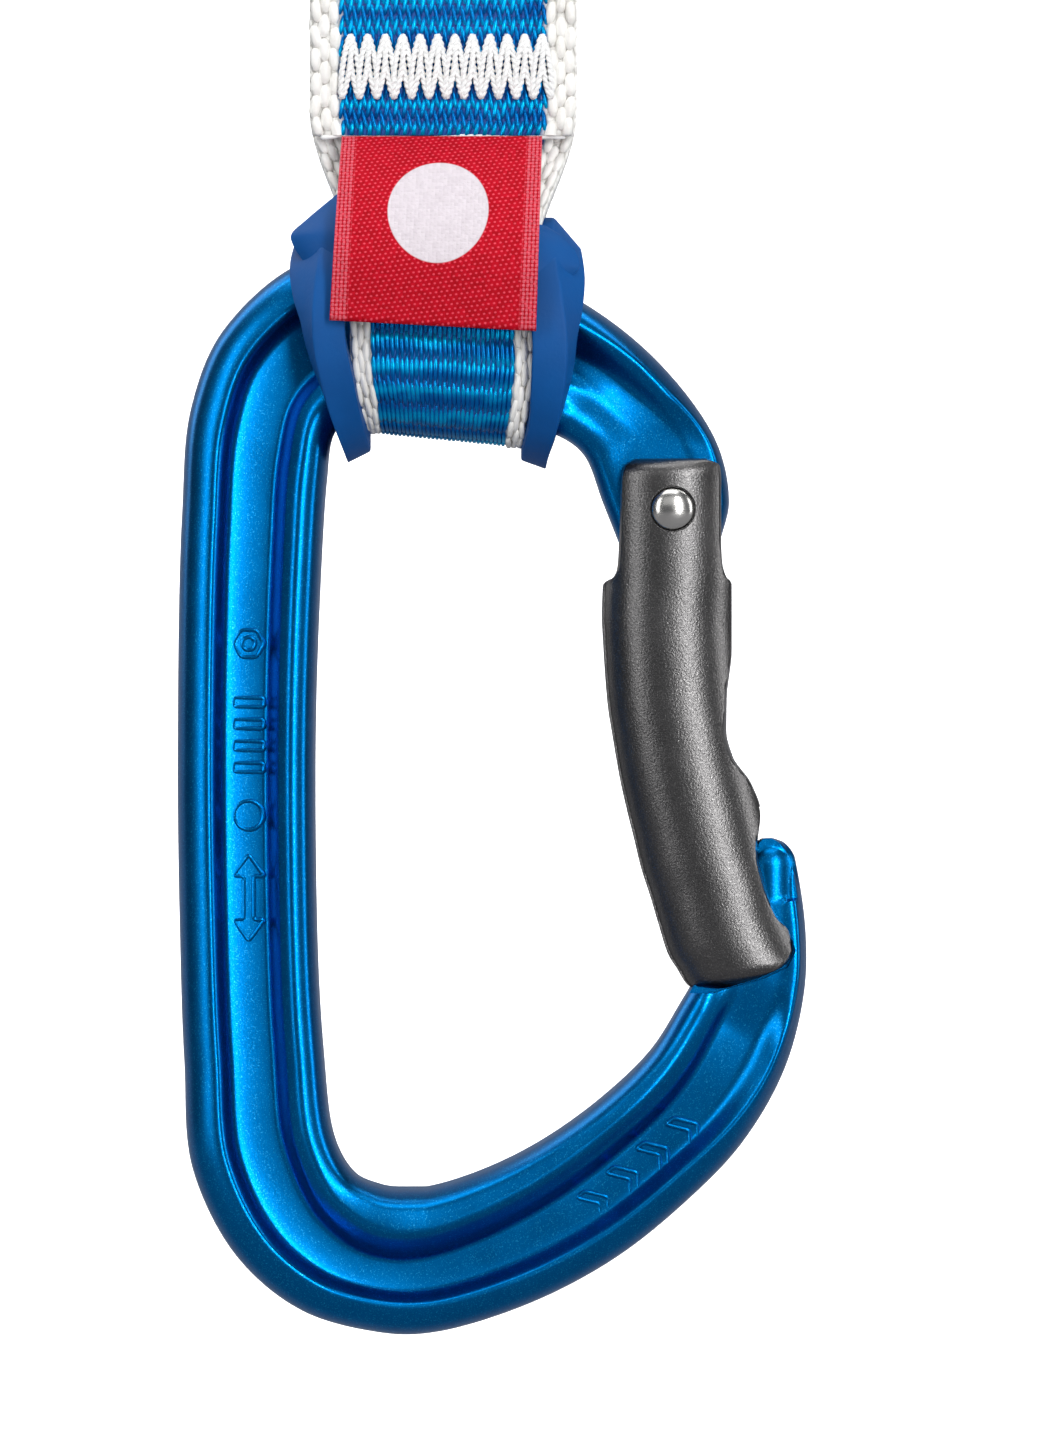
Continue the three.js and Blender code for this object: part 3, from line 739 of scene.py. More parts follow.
def nose_cutters():
    """The flats that the gate's foot closes over, one on each side of the tongue."""
    flat = [(20, 36), (20, 23), (24, 17.85), (27.5, 17.85), (32.3, 19.2), (34.5, 20.25), (35.2, 21.7),
            (35.0, 22.6), (33.1, 24.9), (32.0, 28.0), (31.5, 31.0), (31.4, 36)]
    return [prism(flat, -10, -TONGUE_HALF), prism(flat, TONGUE_HALF, 10)]


def body_sections():
    """One section of HALF_COLUMNS points for every row, blended between the key sections."""
    keys = sorted(SECTION_KEYS)
    stack = np.array([SECTION_KEYS[k] for k in keys], float)
    scale = np.array([12.5, 1.0])
    mean = stack.mean(axis=0) * scale
    knots = run_of(mean)
    at = np.linspace(0, knots[-1], HALF_COLUMNS)
    fine = np.stack([through(knots, s, at, even=True) for s in stack])
    return np.array(keys, float), fine


def forged_rows():
    """Outer and inner rail points and the station number of every row, at equal steps of mean length."""
    station = np.arange(len(BODY_STATIONS), dtype=float)
    chord = np.linalg.norm(np.diff(BODY_STATIONS[:, :2], axis=0), axis=1)
    chord += np.linalg.norm(np.diff(BODY_STATIONS[:, 2:], axis=0), axis=1)
    knots = np.concatenate([[0], np.cumsum(chord**0.5)])
    fine_at = np.linspace(0, knots[-1], 6000)
    fine = through(knots, BODY_STATIONS, fine_at)
    seat = (fine_at > knots[17]) & (fine_at < knots[18])
    fine[seat, 3] = 0.0
    run = run_of(fine[:, :2]) + run_of(fine[:, 2:])
    at = np.linspace(0, run[-1], BODY_ROWS)
    rails = np.stack([np.interp(at, run, fine[:, k]) for k in range(4)], axis=1)
    number = np.interp(np.interp(at, run, fine_at), knots, station)
    return rails, number


def end_strip(row, columns):
    """Faces that close the ring of one row, each from two front points to their matches on the back."""
    faces = []
    for j in range(HALF_COLUMNS - 1):
        corners = (j, j + 1, (columns - j - 1) % columns, (columns - j) % columns)
        face = [row * columns + k for k in dict.fromkeys(corners)]
        if len(face) > 2:
            faces.append(face)
    return faces


def forged_body():
    """Both faces of the forging: a point lies a share of the way from the outer to the inner rail, at the
    section's half thickness in front of or behind the middle plane."""
    rails, number = forged_rows()
    keys, fine = body_sections()
    i = np.clip(np.searchsorted(keys, number, side="right") - 1, 0, len(keys) - 2)
    t = smooth((number - keys[i]) / (keys[i + 1] - keys[i]), 0, 1)[:, None, None]
    section = mix(fine[i], fine[i + 1], t)
    x, z = between(rails, section[:, :, 0])
    grid = both_faces(x, z, milled_half(x, z, section[:, :, 1]))
    rows, columns = grid.shape[:2]
    faces = grid_faces(rows, columns, close_columns=True)
    faces += end_strip(0, columns) + [face[::-1] for face in end_strip(rows - 1, columns)]
    points = grid.reshape(-1, 3)
    return points, facing_out(points, faces)


# ---------------------------------------------------------------- raised marks on the forging

def outline_marks():
    """Plain raised outlines on the channel floors: a hexagon round a ring, bars, a circle and a double arrow
    down the spine, and four chevrons near the nose. Each is a closed path of the X-Z plane."""
    x = -15.1
    marks = [circle(x, 50.0, 1.45, 6), circle(x, 50.0, 0.62, 23)]
    for z in (44.6, 42.6, 40.6, 38.6):
        marks.append([(x + a * 1.4, z + b * 0.42) for a, b in ((-1, -1), (1, -1), (1, 1), (-1, 1))])
    marks.append(circle(x, 34.2, 1.35, 29))
    middle, head, neck, tip, barb = 26.6, 1.45, 0.45, 4.0, 2.0
    arrow = [(0, tip), (head, barb), (neck, barb), (neck, -barb), (head, -barb), (0, -tip),
             (-head, -barb), (-neck, -barb), (-neck, barb), (-head, barb)]
    marks.append([(x + a, middle + b) for a, b in arrow])
    along = np.array([-0.774, -0.633])
    up = np.array([-along[1], along[0]])
    chevron = [(-1.0, 0), (0.3, 1.75), (1.25, 1.75), (-0.05, 0), (1.25, -1.75), (0.3, -1.75)]
    for k in range(4):
        centre = np.array([25.4 - 2.75 * k, 5.2 - 2.25 * k])
        marks.append([centre + a * along + b * up for a, b in chevron])
    return marks


def raised_marks():
    """Each outline as a closed round tube, sunk to its middle in the floor of the channel."""
    parts = []
    for mark in outline_marks():
        loop = np.vstack([mark, mark[:1]])
        run = run_of(loop)
        at = np.linspace(0, run[-1], max(24, int(run[-1] / 0.22)), endpoint=False)
        flat = np.stack([np.interp(at, run, loop[:, k]) for k in range(2)], axis=1)
        flat = (flat + np.roll(flat, 1, axis=0) + np.roll(flat, -1, axis=0)) / 3
        floor = 1.66 + 0.35 * smooth(flat[:, 0], 14, 28)
        for side in (-1, 1):
            path = np.stack([flat[:, 0], side * floor, flat[:, 1]], axis=1)
            parts.append(tube(path, MARK_RADIUS, 8, closed=True))
    return joined(parts)


# ---------------------------------------------------------------- gates

# Left X and Z and right X and Z of a gate's bar, from its head at the hinge to its foot at the nose.
GATE_HEAD = [[20.3, 67.0, 27.4, 67.0], [19.3, 66.3, 28.4, 66.3], [19.0, 65.0, 28.5, 65.0],
             [18.9, 60.0, 28.5, 59.8], [18.75, 57.2, 28.6, 57.5], [18.4, 56.2, 28.9, 56.3]]
GATE_FOOT = [[24.3, 20.1, 35.05, 21.8], [25.5, 18.4, 34.4, 20.5], [27.4, 17.9, 32.3, 19.4]]
BENT_GATE = GATE_HEAD + [
    [17.5, 55.4, 29.4, 55.4], [17.4, 52.6, 29.4, 52.4], [17.55, 49.4, 29.4, 49.4], [17.9, 44.7, 28.95, 45.1],
    [18.4, 41.4, 28.9, 42.1], [19.1, 37.4, 29.5, 39.6], [19.8, 34.3, 31.2, 37.1], [20.4, 31.9, 32.1, 34.3],
    [21.0, 29.4, 31.8, 31.2], [21.9, 26.6, 32.45, 28.1], [22.7, 23.9, 33.6, 25.0], [23.5, 21.4, 34.8, 23.5],
] + GATE_FOOT
STRAIGHT_GATE = GATE_HEAD + [
    [18.3, 55.0, 29.5, 55.4], [19.9, 46.0, 30.9, 47.4], [21.5, 35.2, 32.7, 36.7], [22.7, 27.2, 34.1, 28.6],
    [23.5, 21.6, 34.8, 23.5],
] + GATE_FOOT


def gate_shell(stations):
    """A round bar between two rails. Its half thickness across is a superellipse as wide as GATE_WIDE and
    never under GATE_FLOOR of its middle, measured from where the bar's left side runs on past the narrower
    head. The rails trim it, with a quarter round along each trimmed edge, and it eases in at both ends."""
    rails = evenly(stations, GATE_ROWS, even=True)
    share = (1 - np.cos(np.linspace(0, np.pi, GATE_COLUMNS))) / 2
    width = np.linalg.norm(rails[:, 2:] - rails[:, :2], axis=1)[:, None]
    shoulder_x, shoulder_z = stations[len(GATE_HEAD)][:2]
    inset = np.where(rails[:, 1] > shoulder_z, rails[:, 0] - shoulder_x, 0)[:, None]
    across = np.clip((share * width + np.clip(inset, 0, 1.5)) / GATE_WIDE, 0, 1)
    bar = np.maximum((1 - np.abs(2 * across - 1) ** GATE_POWER) ** (1 / GATE_POWER), GATE_FLOOR)
    trim = quarter_round(width * np.minimum(share, 1 - share) / EDGE_ROUND)
    run = run_of((rails[:, :2] + rails[:, 2:]) / 2)
    ease = 0.70 + 0.30 * quarter_round(np.minimum(run, run[-1] - run) / END_EASE)
    grid = both_faces(*between(rails, share), GATE_HALF * np.minimum(bar, trim) * ease[:, None])
    rows, columns = grid.shape[:2]
    points = np.vstack([grid.reshape(-1, 3), grid[0].mean(axis=0), grid[-1].mean(axis=0)])
    faces = grid_faces(rows, columns, close_columns=True) + end_fans(rows, columns)
    return points, facing_out(points, faces)


def gate_cutters():
    """The fork for the tang, the keyway for the nose, the plunger's bore, and the rivet's two sinks."""
    fork = [(10, FORK_FOOT), (40, FORK_FOOT), (40, 70), (10, 70)]
    keyway = [(26.8, 15), (40, 15), (40, 35), (30.6, 35), (30.2, 31), (29.5, 28), (27.8, 24.5), (26.2, 21.5)]
    bore, bore_faces = prism(circle(BORE_X, 0, BORE_RADIUS, 32), 45.4, 60)
    sink = circle(PIVOT_X, PIVOT_Z, RIVET_HEAD + 0.15, 64)
    return [
        prism(fork, -FORK_HALF, FORK_HALF),
        prism(keyway, -KEYWAY_HALF, KEYWAY_HALF),
        (bore[:, [0, 2, 1]], bore_faces),
        prism(sink, -7, -RIVET_SEAT),
        prism(sink, RIVET_SEAT, 7),
    ]


def lathe_y(profile, x, z):
    """A profile of (radius, Y) pairs, from axis to axis, turned about a line along Y."""
    sides = 72
    radius, y = np.array(profile, float).T[:, :, None]
    angle = full_turn(sides)
    ring_x, ring_z = x + radius * np.cos(angle), z + radius * np.sin(angle)
    rings = np.stack([ring_x, np.broadcast_to(y, ring_x.shape), ring_z], axis=2)[1:-1]
    tips = [[x, profile[0][1], z], [x, profile[-1][1], z]]
    points = np.vstack([rings.reshape(-1, 3), tips])
    faces = grid_faces(len(rings), sides, close_columns=True) + end_fans(len(rings), sides)
    return points, facing_out(points, faces)


def rivet_shape():
    """Shaft with a domed head at each end: the dome is a quarter ellipse over a short straight edge."""
    angle = np.linspace(0, np.pi / 2, 16)
    dome = np.stack([RIVET_HEAD * np.cos(angle), RIVET_SEAT + 0.35 + 0.95 * np.sin(angle)], axis=1)
    half = [(RIVET_SHAFT, RIVET_SEAT), (RIVET_HEAD, RIVET_SEAT)] + dome.tolist()
    profile = [(r, -y) for r, y in half[::-1]] + half
    return lathe_y(profile, PIVOT_X, PIVOT_Z)


def cut_piece(name, points, faces, cutters, place):
    """A shell of the carabiner's own frame, cut, then placed at its end of the quickdraw."""
    made = new_object(name, points, faces)
    cut_away(made, cutters)
    corners = np.empty(len(made.data.vertices) * 3)
    made.data.vertices.foreach_get("co", corners)
    made.data.vertices.foreach_set("co", (place(corners.reshape(-1, 3) / MM) * MM).ravel())
    made.data.update()
    return made


def build_carabiner(end, place, stations, carabiner, swing):
    forging = cut_piece(f"{end}_forging", *forged_body(), nose_cutters(), place)
    finish_piece(forging, "anodised_blue", carabiner, sharp=50,
                 replaces=[f"{end}_body"])
    points, faces = raised_marks()
    piece(f"{end}_raised_marks", place(points), faces, "anodised_blue", carabiner)
    gate = cut_piece(f"{end}_gate_bar", *gate_shell(stations), gate_cutters(), place)
    finish_piece(gate, "gate_grey", swing, sharp=30, replaces=[f"{end}_gate"])
    points, faces = rivet_shape()
    placed = place(points)
    faces = facing_out(placed, faces)
    piece(f"{end}_rivet_domed", placed, faces, "rivet_steel", swing, sharp=50,
          replaces=[f"{end}_gate_rivet"])
    for node in (f"{end}_gate_plunger", f"{end}_gate_spring"):
        obj = frame["nodes"][node]
        obj.data.materials.clear()
        obj.data.materials.append(FINISH["spring_steel"])


build_carabiner("rope", at_rope_end, BENT_GATE, "rope_carabiner", "rope_gate_swing")
build_carabiner("bolt", at_bolt_end, STRAIGHT_GATE, "bolt_carabiner", "bolt_gate_swing")

# ---------------------------------------------------------------- sling

def low(height):
    return height + ROPE_SEAT


def high(height):
    return -height


def from_seat(z):
    """Height above the nearer basket seat."""
    return np.minimum(-z, z - ROPE_SEAT)


def strap_line():
    """The strap's middle line in the Y-Z plane: front layer, bolt-end loop, back layer, rope-end loop and
    middle layer. A loop's end is a superellipse."""
    line = [(-LAYER_PITCH, low(CUT_END)), (-LAYER_PITCH, low(NECK)), (-LAYER_PITCH, low(115)),
            (-LAYER_PITCH, high(115)), (-LAYER_PITCH, high(NECK)), (-2.3, high(NECK - 2))]

    def loop(leg, to_z, leg_height, turn):
        line.extend([(-turn * leg, to_z(leg_height)), (-turn * leg, to_z(BAR_MIDDLE))])
        for angle in np.pi * np.arange(1, 10) / 10:
            across = math.copysign(abs(math.cos(angle)) ** 0.8, math.cos(angle))
            down = (BAR_MIDDLE - LOOP_CREST) * math.sin(angle) ** 0.8
            line.append((-turn * leg * across, to_z(BAR_MIDDLE - down)))
        line.extend([(turn * leg, to_z(BAR_MIDDLE)), (turn * leg, to_z(leg_height))])

    loop(8.7, high, 82, 1)
    line.extend([(2.3, high(NECK - 2)), (LAYER_PITCH, high(NECK)), (LAYER_PITCH, high(115)),
                 (LAYER_PITCH, low(115)), (LAYER_PITCH, low(NECK)), (2.3, low(NECK - 2))])
    loop(6.35, low, 84.5, -1)
    line.extend([(-0.25, low(96)), (0, low(100)), (0, low(115)), (0, high(115)), (0, high(CUT_END))])
    return np.array(line)


STRAP_LINE = evenly(strap_line(), 3000, even=True)
STRAP_RUN = run_of(STRAP_LINE)
STRAP_ALONG = unit(np.gradient(STRAP_LINE, axis=0))


def strap_half(z):
    height = from_seat(z)
    width = mix(LOOP_WIDE, WIDE, smooth(height, 85, 99))
    return mix(TIP_WIDE, width, smooth(height, 68, 76)) / 2


def on_strap(along, share, lift):
    """Points on the strap: distance along its line, share of the half width from -1 to 1, and height over
    the middle surface on the outer side. Near a bar the strap tilts with the bar's slope."""
    y, z, ty, tz = (np.interp(along, STRAP_RUN, a) for a in (*STRAP_LINE.T, *STRAP_ALONG.T))
    x = STRAP_X + share * strap_half(z)
    towards = np.where(z < ROPE_SEAT / 2, -1, 1)
    tilt = towards * (1 - smooth(from_seat(z), 74, 90)) * BAR_SLOPE * (x - STRAP_X)
    return np.stack([x, y - tz * lift, z + ty * lift + tilt], axis=-1)


def strap_band():
    """The webbing as one closed band. Across, each face is flat with rounded edges: share and lift are the
    powers 0.6 and 0.33 of a circle's cosine and sine. Rows run along the strap line."""
    angle = np.linspace(0, np.pi, BAND_HALF_RING, endpoint=False)
    angle = np.concatenate([angle, angle + np.pi])
    share = np.sign(np.cos(angle)) * np.abs(np.cos(angle)) ** 0.6
    lift = np.sign(np.sin(angle)) * (WEB_HALF - 0.1) * np.abs(np.sin(angle)) ** 0.33
    size = (BAND_ROWS, len(angle))
    along = np.broadcast_to(np.linspace(0, STRAP_RUN[-1], BAND_ROWS)[:, None], size)
    points, faces = flat_ended(on_strap(along, share, lift))
    uv = np.stack([np.broadcast_to(share * WIDE / 2, size), along], axis=-1).reshape(-1, 2)
    band = piece("webbing_band", points, faces, "webbing", "sling", uv=uv, sharp=60,
                 replaces=["sling_strap"])
    edge = band.data.attributes.new("edge", "FLOAT", "POINT")
    on_edge = np.broadcast_to(np.abs(share) > SELVEDGE_SHARE, size)
    edge.data.foreach_set("value", on_edge.astype(np.float32).ravel())
    return band


def floats_at(along, share, half_long, half_wide, tall, lean):
    """Closed spindles lying along the strap, one for each entry of along and share, all as long. A spindle's
    radius at t from -1 to 1 along it is (1 - t^2) to the power 0.4, and lean shifts it sideways by lean
    times t."""
    sides, stops = 6, np.array([-0.86, -0.4, 0.4, 0.86])
    angle = full_turn(sides)
    radius = (1 - stops**2) ** 0.4
    t = np.concatenate([np.repeat(stops, sides), [-1, 1]])
    across = np.concatenate([(radius[:, None] * np.cos(angle)).ravel(), [0, 0]])
    up = np.concatenate([(radius[:, None] * np.sin(angle)).ravel(), [0, 0]])
    a = along[:, None] + t * half_long
    s = share[:, None] + (across * half_wide[:, None] + lean[:, None] * t) / half_of_strap(along)[:, None]
    points = on_strap(a, s, YARN_LIFT + up * tall[:, None]).reshape(-1, 3)
    per = len(t)
    one = grid_faces(len(stops), sides, close_columns=True) + end_fans(len(stops), sides)
    one = facing_out(points[:per], one)
    faces = [[k + n * per for k in f] for n in range(len(along)) for f in one]
    return points, faces


def half_of_strap(along):
    return strap_half(np.interp(along, STRAP_RUN, STRAP_LINE[:, 1]))


def cells(start, end, columns, rows, inner, outer, every=2):
    """Row number, distance along and share of each place of a grid, or of every second place."""
    i, j = np.meshgrid(np.arange(rows), np.arange(columns), indexing="ij")
    keep = (i + j) % every == 0
    i, j = i[keep], j[keep]
    shift = 0 if every > 1 else 0.12 * (j % 2)
    return i, mix(start, end, (i + 0.5 + shift) / rows), mix(inner, outer, (j + 0.5) / columns)


def strap_stretches():
    """Where the flat layers and the loops start and end along the strap line."""
    z = STRAP_LINE[:, 1]
    beyond = from_seat(z) > NECK
    turns = STRAP_RUN[1:][np.diff(beyond.astype(int)) != 0]
    return [("front", 0.0, turns[1], False), ("bolt_loop", turns[1], turns[2], True),
            ("back", turns[2], turns[3], False), ("rope_loop", turns[3], turns[4], True)]


def strap_piece(name, points, faces, finish):
    return piece(name, points, faces, finish, "sling", sharp=80)


def blue_floats(rng, start, end, in_loop):
    """Floats of the middle: a brick pattern on the flat layers, longer plain rows round the loops."""
    pitch, columns, every, reach = (2.1, 30, 1, 0.56) if in_loop else (0.95, 46, 2, 1.02)
    rows = int((end - start) / pitch)
    i, along, share = cells(start, end, columns, rows, -SELVEDGE_SHARE, SELVEDGE_SHARE, every)
    wide = half_of_strap(along) * 2 * SELVEDGE_SHARE / columns * 0.60
    lean = np.where(i % 2 == 0, 1, -1) * (0.05 if in_loop else 0.17)
    jitter = rng.normal(0, 1, len(i))
    half_long = (end - start) / rows * reach
    return floats_at(along + 0.05 * jitter, share, half_long, wide, 0.25 + 0.03 * jitter, lean)


def selvedge_floats(rng, start, end, side):
    """Thicker floats along one edge, three places across."""
    rows = int((end - start) / 1.05)
    i, along, share = cells(start, end, 3, rows, side * (SELVEDGE_SHARE + 0.005), side * 0.985)
    wide = half_of_strap(along) * 0.21 / 3 * 0.66
    jitter = rng.normal(0, 1, len(i))
    share = share + 0.006 * rng.normal(0, 1, len(i))
    lean = rng.normal(0, 0.07, len(i))
    return floats_at(along + 0.12 * jitter, share, 1.12, wide, 0.36 + 0.04 * jitter, lean)


def yarns():
    """The woven surface as real floats: blue warp on the middle, thicker off-white warp on the selvedges."""
    rng = np.random.default_rng(7)
    made = []
    for name, start, end, in_loop in strap_stretches():
        blue = blue_floats(rng, start, end, in_loop)
        made.append(strap_piece(f"{name}_blue_yarns", *blue, "yarn_blue"))
        white = joined([selvedge_floats(rng, start, end, side) for side in (-1, 1)])
        made.append(strap_piece(f"{name}_selvedges", *white, "yarn_white"))
    return made


def cut_seal():
    """The melted edge of the front layer: a thin wavering bead."""
    x = np.linspace(-0.93, 0.93, 90)
    wave = 0.10 * np.sin(7.1 * x) + 0.07 * np.sin(17.3 * x + 1)
    path = on_strap(np.zeros(90) + 0.02, x, 0.55 + 0.15 * np.sin(5 * x))
    path[:, 2] += wave - 0.12
    points, faces = tube(path, 0.20 + 0.06 * np.sin(11 * x), 8)
    return strap_piece("cut_end_seal", points, faces, "tack_thread")


def ply(path, phase):
    """One ply of a two-ply thread: a helix about path, in the plane of X and Y."""
    turn = 2 * np.pi * run_of(path) / PLY_TURN + phase
    return path + PLY_RADIUS * np.stack([np.cos(turn), np.sin(turn), 0 * turn], axis=1)


def tack_points(face, z):
    """A bar tack: doubled two-ply stitches run corner to corner, each arched over the webbing."""
    parts = []
    t = np.linspace(0, 1, 22)
    arch = np.sin(np.pi * t)
    left = STRAP_X - TACK_WIDE / 2 + 0.3
    step = TACK_WIDE / (2 * TACK_STITCHES)
    for k in range(2 * TACK_STITCHES):
        rises = k % 2 == 0
        up = z + (1 if rises else -1) * (t - 0.5) * (TACK_TALL - 0.4)
        out = face * (2.95 + 0.12 + 0.33 * arch**0.5 + (0.12 if rises else 0))
        for strand in (-1, 1):
            x = left + step * (k + t) + strand * 0.32 * arch**0.6
            path = np.stack([x, out, up], axis=1)
            for phase in (0, np.pi):
                parts.append(tube(ply(path, phase + k), 0.185, 6))
    return joined(parts)


def bar_tacks():
    for end, to_z in (("rope", low), ("bolt", high)):
        for name, height in TACK_HEIGHTS.items():
            for side, face in (("front", -1), ("back", 1)):
                points, faces = tack_points(face, to_z(height))
                piece(f"{end}_{name}_{side}_thread", points, faces, "tack_thread", "sling",
                      sharp=80, replaces=[f"{end}_{name}_{side}"])


def woven_label():
    """A ribbon folded once at its foot: down in front, round the fold, and up behind. It is a little wider
    and shifted to the left at its foot, and its foot slopes down to the right."""
    middle = evenly(LABEL_LINE, 60, even=True)
    along = unit(np.gradient(middle, axis=0))
    outward = np.stack([along[:, 1], -along[:, 0]], axis=1)
    gap = LABEL_HALF + 0.04
    fold = np.linspace(0, np.pi, 14)[1:-1]
    end, down, out = middle[-1], along[-1], outward[-1]
    turn = end + gap * (np.cos(fold)[:, None] * out + 1.3 * np.sin(fold)[:, None] * down)
    line = np.vstack([middle + gap * outward, turn, (middle - gap * outward)[::-1]])
    line = evenly(line, 260, even=True)
    run = run_of(line)
    top, foot = LABEL_LINE[0][1], LABEL_LINE[-1][1]
    drop = (top - line[:, 1]) / (top - foot)
    along = unit(np.gradient(line, axis=0))
    normal = np.stack([along[:, 1], -along[:, 0]], axis=1)
    share = np.linspace(-1, 1, 70)
    half = 9.2 + 0.2 * drop
    x = 2.7 - 0.75 * drop
    bow = 0.35 * np.sin(np.pi * np.clip(drop, 0, 1))

    def face(offset):
        px = x[:, None] + half[:, None] * share
        py = (line[:, 0] + offset * normal[:, 0])[:, None] - bow[:, None] * (1 - share**2)
        pz = (line[:, 1] + offset * normal[:, 1])[:, None] - 0.052 * drop[:, None] * (px - 2.0)
        return np.stack([px, py, low(pz)], axis=2)

    grid = np.concatenate([face(LABEL_HALF), face(-LABEL_HALF)[:, ::-1]], axis=1)
    points, faces = flat_ended(grid)
    u = np.concatenate([share, share[::-1]])[None, :] * half[:, None]
    v = np.broadcast_to((run[-1] / 4 - run)[:, None], u.shape)
    label = piece("folded_label", points, faces, "label_red", "sling",
                  uv=np.stack([u, v], axis=2).reshape(-1, 2), sharp=60, replaces=["woven_label"])
    return label, run[-1]


def keeper_ring(side, middle, heights, middles, flares, half_wide, foot_slope):
    """A ring round the bar: its outer face, half_wide to each side of a middle X, goes round an ellipse in
    the Y-Z plane about the height named middle. The side away from the loop flares outwards towards the
    inside of the ring, and low on the ring the section tips by foot_slope. Middles and flares are given at
    heights, and run smoothly between."""
    angle = full_turn(RING_ROWS)[:, None]
    corner = full_turn(RING_COLUMNS)[None, :]
    across = np.sign(np.cos(corner)) * np.abs(np.cos(corner)) ** 0.12
    out = np.sign(np.sin(corner)) * np.abs(np.sin(corner)) ** 0.12
    knots = np.array(heights, float)
    level = np.clip(middle + (RING_TALL + RING_THICK) * np.sin(angle[:, 0]), knots[0], knots[-1])
    shape = through(knots, np.stack([middles, flares], axis=1), level, even=True)
    away = np.clip(side * across, 0, 1) * (1 - out) / 2
    wide = half_wide * (0.72 + 0.28 * smooth(level, 67, 76))[:, None]
    x = shape[:, 0:1] + wide * across + side * shape[:, 1:2] * away
    tip = foot_slope * (1 - smooth(level, 69, 79))[:, None] * (x - shape[:, 0:1])
    y = -(RING_DEEP + RING_THICK * out) * np.cos(angle)
    z = low(middle + (RING_TALL + RING_THICK * out) * np.sin(angle) + tip)
    points = np.stack([x, y, z], axis=2).reshape(-1, 3)
    faces = grid_faces(RING_ROWS, RING_COLUMNS, close_rows=True, close_columns=True)
    return points, facing_out(points, faces)


def keeper_band():
    """The web of rubber that joins the rings over the front of the loop. Its ends turn back into the rings
    and its upper corners are cut off on the slant."""
    left = [(-10.0, 85.0), (-10.9, 86.4), (-11.1, 87.5), (-9.8, 88.8), (-7.0, 91.2)]
    right = [(14.6, 83.5), (15.3, 84.6), (14.9, 86.0), (13.9, 87.2), (12.2, 88.3)]
    rails = evenly([(a, b, c, d) for (a, b), (c, d) in zip(left, right)], 40)
    share = np.linspace(0, 1, 80)
    x, height = between(rails, share)
    lean = (height - 82.0) / 9.0
    y = -8.9 + 3.2 * lean + 2.4 * np.abs(2 * share - 1)[None, :] ** 5
    front = np.stack([x, y - 0.7, low(height)], axis=2)
    back = np.stack([x, y + 0.7, low(height)], axis=2)[:, ::-1]
    return flat_ended(np.concatenate([front, back], axis=1))


def rubber_keeper():
    left = keeper_ring(-1, 78.6, [65.2, 67, 72, 79, 83, 87.5, 90], [-4.3, -4.9, -6.4, -7.6, -7.3, -6.7, -6.5],
                       [0.1, 0.2, 0.5, 1.1, 2.3, 3.2, 3.0], 1.5, 0.5)
    right = keeper_ring(1, 77.9, [65.2, 67, 70, 77, 82, 86, 90], [10.9, 11.2, 12.0, 12.6, 12.1, 11.5, 11.4],
                        [0.5, 0.5, 0.6, 0.9, 2.1, 2.9, 2.6], 1.6, -0.36)
    points, faces = joined([left, right, keeper_band()])
    return piece("keeper_rings", points, faces, "keeper_rubber", "sling", sharp=40,
                 replaces=["rubber_keeper"])


band = strap_band()
strap_pieces = yarns() + [cut_seal()]
bar_tacks()
label_piece, label_run = woven_label()
rubber_keeper()

# ---------------------------------------------------------------- studio

def area_light(name, place, aim, size, power):
    data = bpy.data.lights.new(name, "AREA")
    data.shape = "RECTANGLE"
    data.size, data.size_y = size
    data.energy = power
    light = bpy.data.objects.new(name, data)
    bpy.context.scene.collection.objects.link(light)
    direction = np.array(aim, float) - np.array(place, float)
    light.location = place
    light.rotation_euler = Vector(direction).to_track_quat("-Z", "Y").to_euler()


def sweep_paper():
    """White paper, brighter to the camera than to the metal that mirrors it; from behind it is clear."""
    made, n, p = material("sweep_paper", (0.93, 0.93, 0.93, 1), 0.9)
    n.feed(n.bump(n.noise(n.place(), 300.0), 0.05, 0.0003), p.inputs["Normal"])
    seen = n.add("ShaderNodeLightPath").outputs["Is Camera Ray"]
    n.feed(n.blend(seen, (0.25, 0.25, 0.26, 1), (0.93, 0.93, 0.93, 1)), p.inputs["Base Color"])
    p.inputs["Emission Color"].default_value = (1, 1, 1, 1)
    n.feed(n.math("MULTIPLY", seen, 0.62), p.inputs["Emission Strength"])
    sides = n.add("ShaderNodeMixShader")
    n.feed(n.add("ShaderNodeNewGeometry").outputs["Backfacing"], sides.inputs[0])
    n.feed(p.outputs[0], sides.inputs[1])
    n.feed(n.add("ShaderNodeBsdfTransparent").outputs[0], sides.inputs[2])
    n.feed(sides.outputs[0], made.node_tree.nodes["Material Output"].inputs["Surface"])
    return made


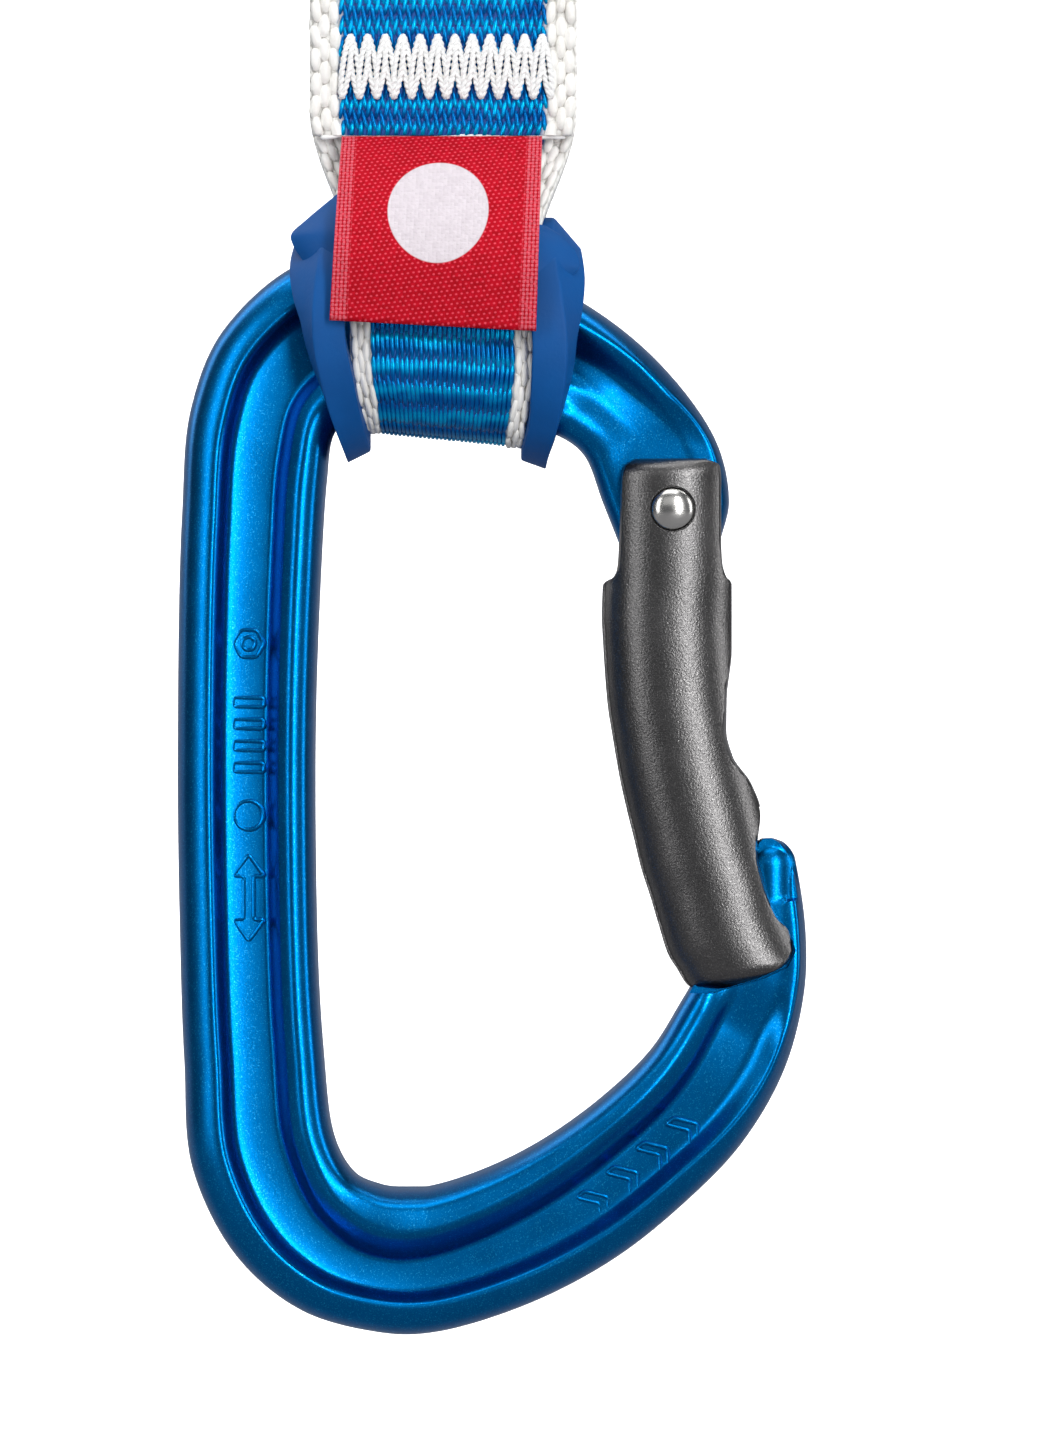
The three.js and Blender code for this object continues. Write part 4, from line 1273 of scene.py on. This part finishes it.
def sweep():
    """A floor that curves up into a wall behind the hanging piece, in metres."""
    below = 0.06
    floor_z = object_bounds()[0].z - below
    depth = np.array([-1.6, -0.9, -0.2, 0.25, 0.35, 0.45, 0.53, 0.58, 0.6, 0.6, 0.6])
    rise = np.array([0, 0, 0, 0, 0.01, 0.045, 0.10, 0.18, 0.30, 0.9, 1.8]) + floor_z
    size = (len(depth), 3)
    x = np.broadcast_to(np.linspace(-2.0, 2.0, 3), size)
    y, z = (np.broadcast_to(row[:, None], size) for row in (depth, rise))
    mesh = bpy.data.meshes.new("sweep")
    mesh.from_pydata(np.stack([x, y, z], axis=2).reshape(-1, 3).tolist(), [], grid_faces(*size))
    mesh.shade_smooth()
    mesh.materials.append(sweep_paper())
    obj = bpy.data.objects.new("sweep", mesh)
    bpy.context.scene.collection.objects.link(obj)
    obj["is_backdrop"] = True


def sky():
    """An even world, as pale as the paper where the camera sees it."""
    world = bpy.data.worlds.new("studio")
    world.use_nodes = True
    background = world.node_tree.nodes["Background"]
    background.inputs["Color"].default_value = (0.9, 0.95, 1.0, 1)
    n = Nodes(world.node_tree)
    seen = n.add("ShaderNodeLightPath").outputs["Is Camera Ray"]
    n.feed(n.math("MULTIPLY_ADD", seen, 0.75, 0.12), background.inputs["Strength"])
    bpy.context.scene.world = world


def lights():
    """Name, place, size and power of each light. All but the last aim at the piece."""
    aim = (0.01, 0, -0.2)
    for name, place, size, power in [
        ("left_box", (-0.74, -0.72, 0.0), (0.22, 0.9), 3.2),
        ("right_box", (1.05, -0.24, 0.0), (0.3, 0.9), 4),
        ("key_strip", (0.36, -0.98, -0.05), (0.18, 1.0), 8.5),
        ("top_box", (-0.1, -0.35, 0.75), (0.9, 0.5), 4),
        ("front_fill", (0.0, -1.5, 0.5), (1.6, 0.8), 2.2),
        ("back_fill", (-0.7, 0.5, 0.25), (0.5, 0.9), 3),
    ]:
        area_light(name, place, aim, size, power)
    area_light("wall_light", (0.0, 0.1, 0.55), (0.0, 0.6, -0.15), (1.2, 0.3), 5)


def camera():
    """Straight on, a long lens, aimed a little above the rope carabiner's seat."""
    distance, tall = 0.9, 0.1323
    aim_x, above_seat = 0.01042, 0.0432
    data = bpy.data.cameras.new("camera")
    data.sensor_width = 36.0
    data.lens = data.sensor_width * distance / tall
    data.clip_start, data.clip_end = 0.05, 20
    obj = bpy.data.objects.new("camera", data)
    bpy.context.scene.collection.objects.link(obj)
    obj.location = (aim_x, -distance, ROPE_SEAT * MM + above_seat)
    obj.rotation_euler = (math.pi / 2, 0, 0)
    bpy.context.scene.camera = obj


sweep()
sky()
lights()
camera()
bpy.context.scene.view_settings.view_transform = "Standard"
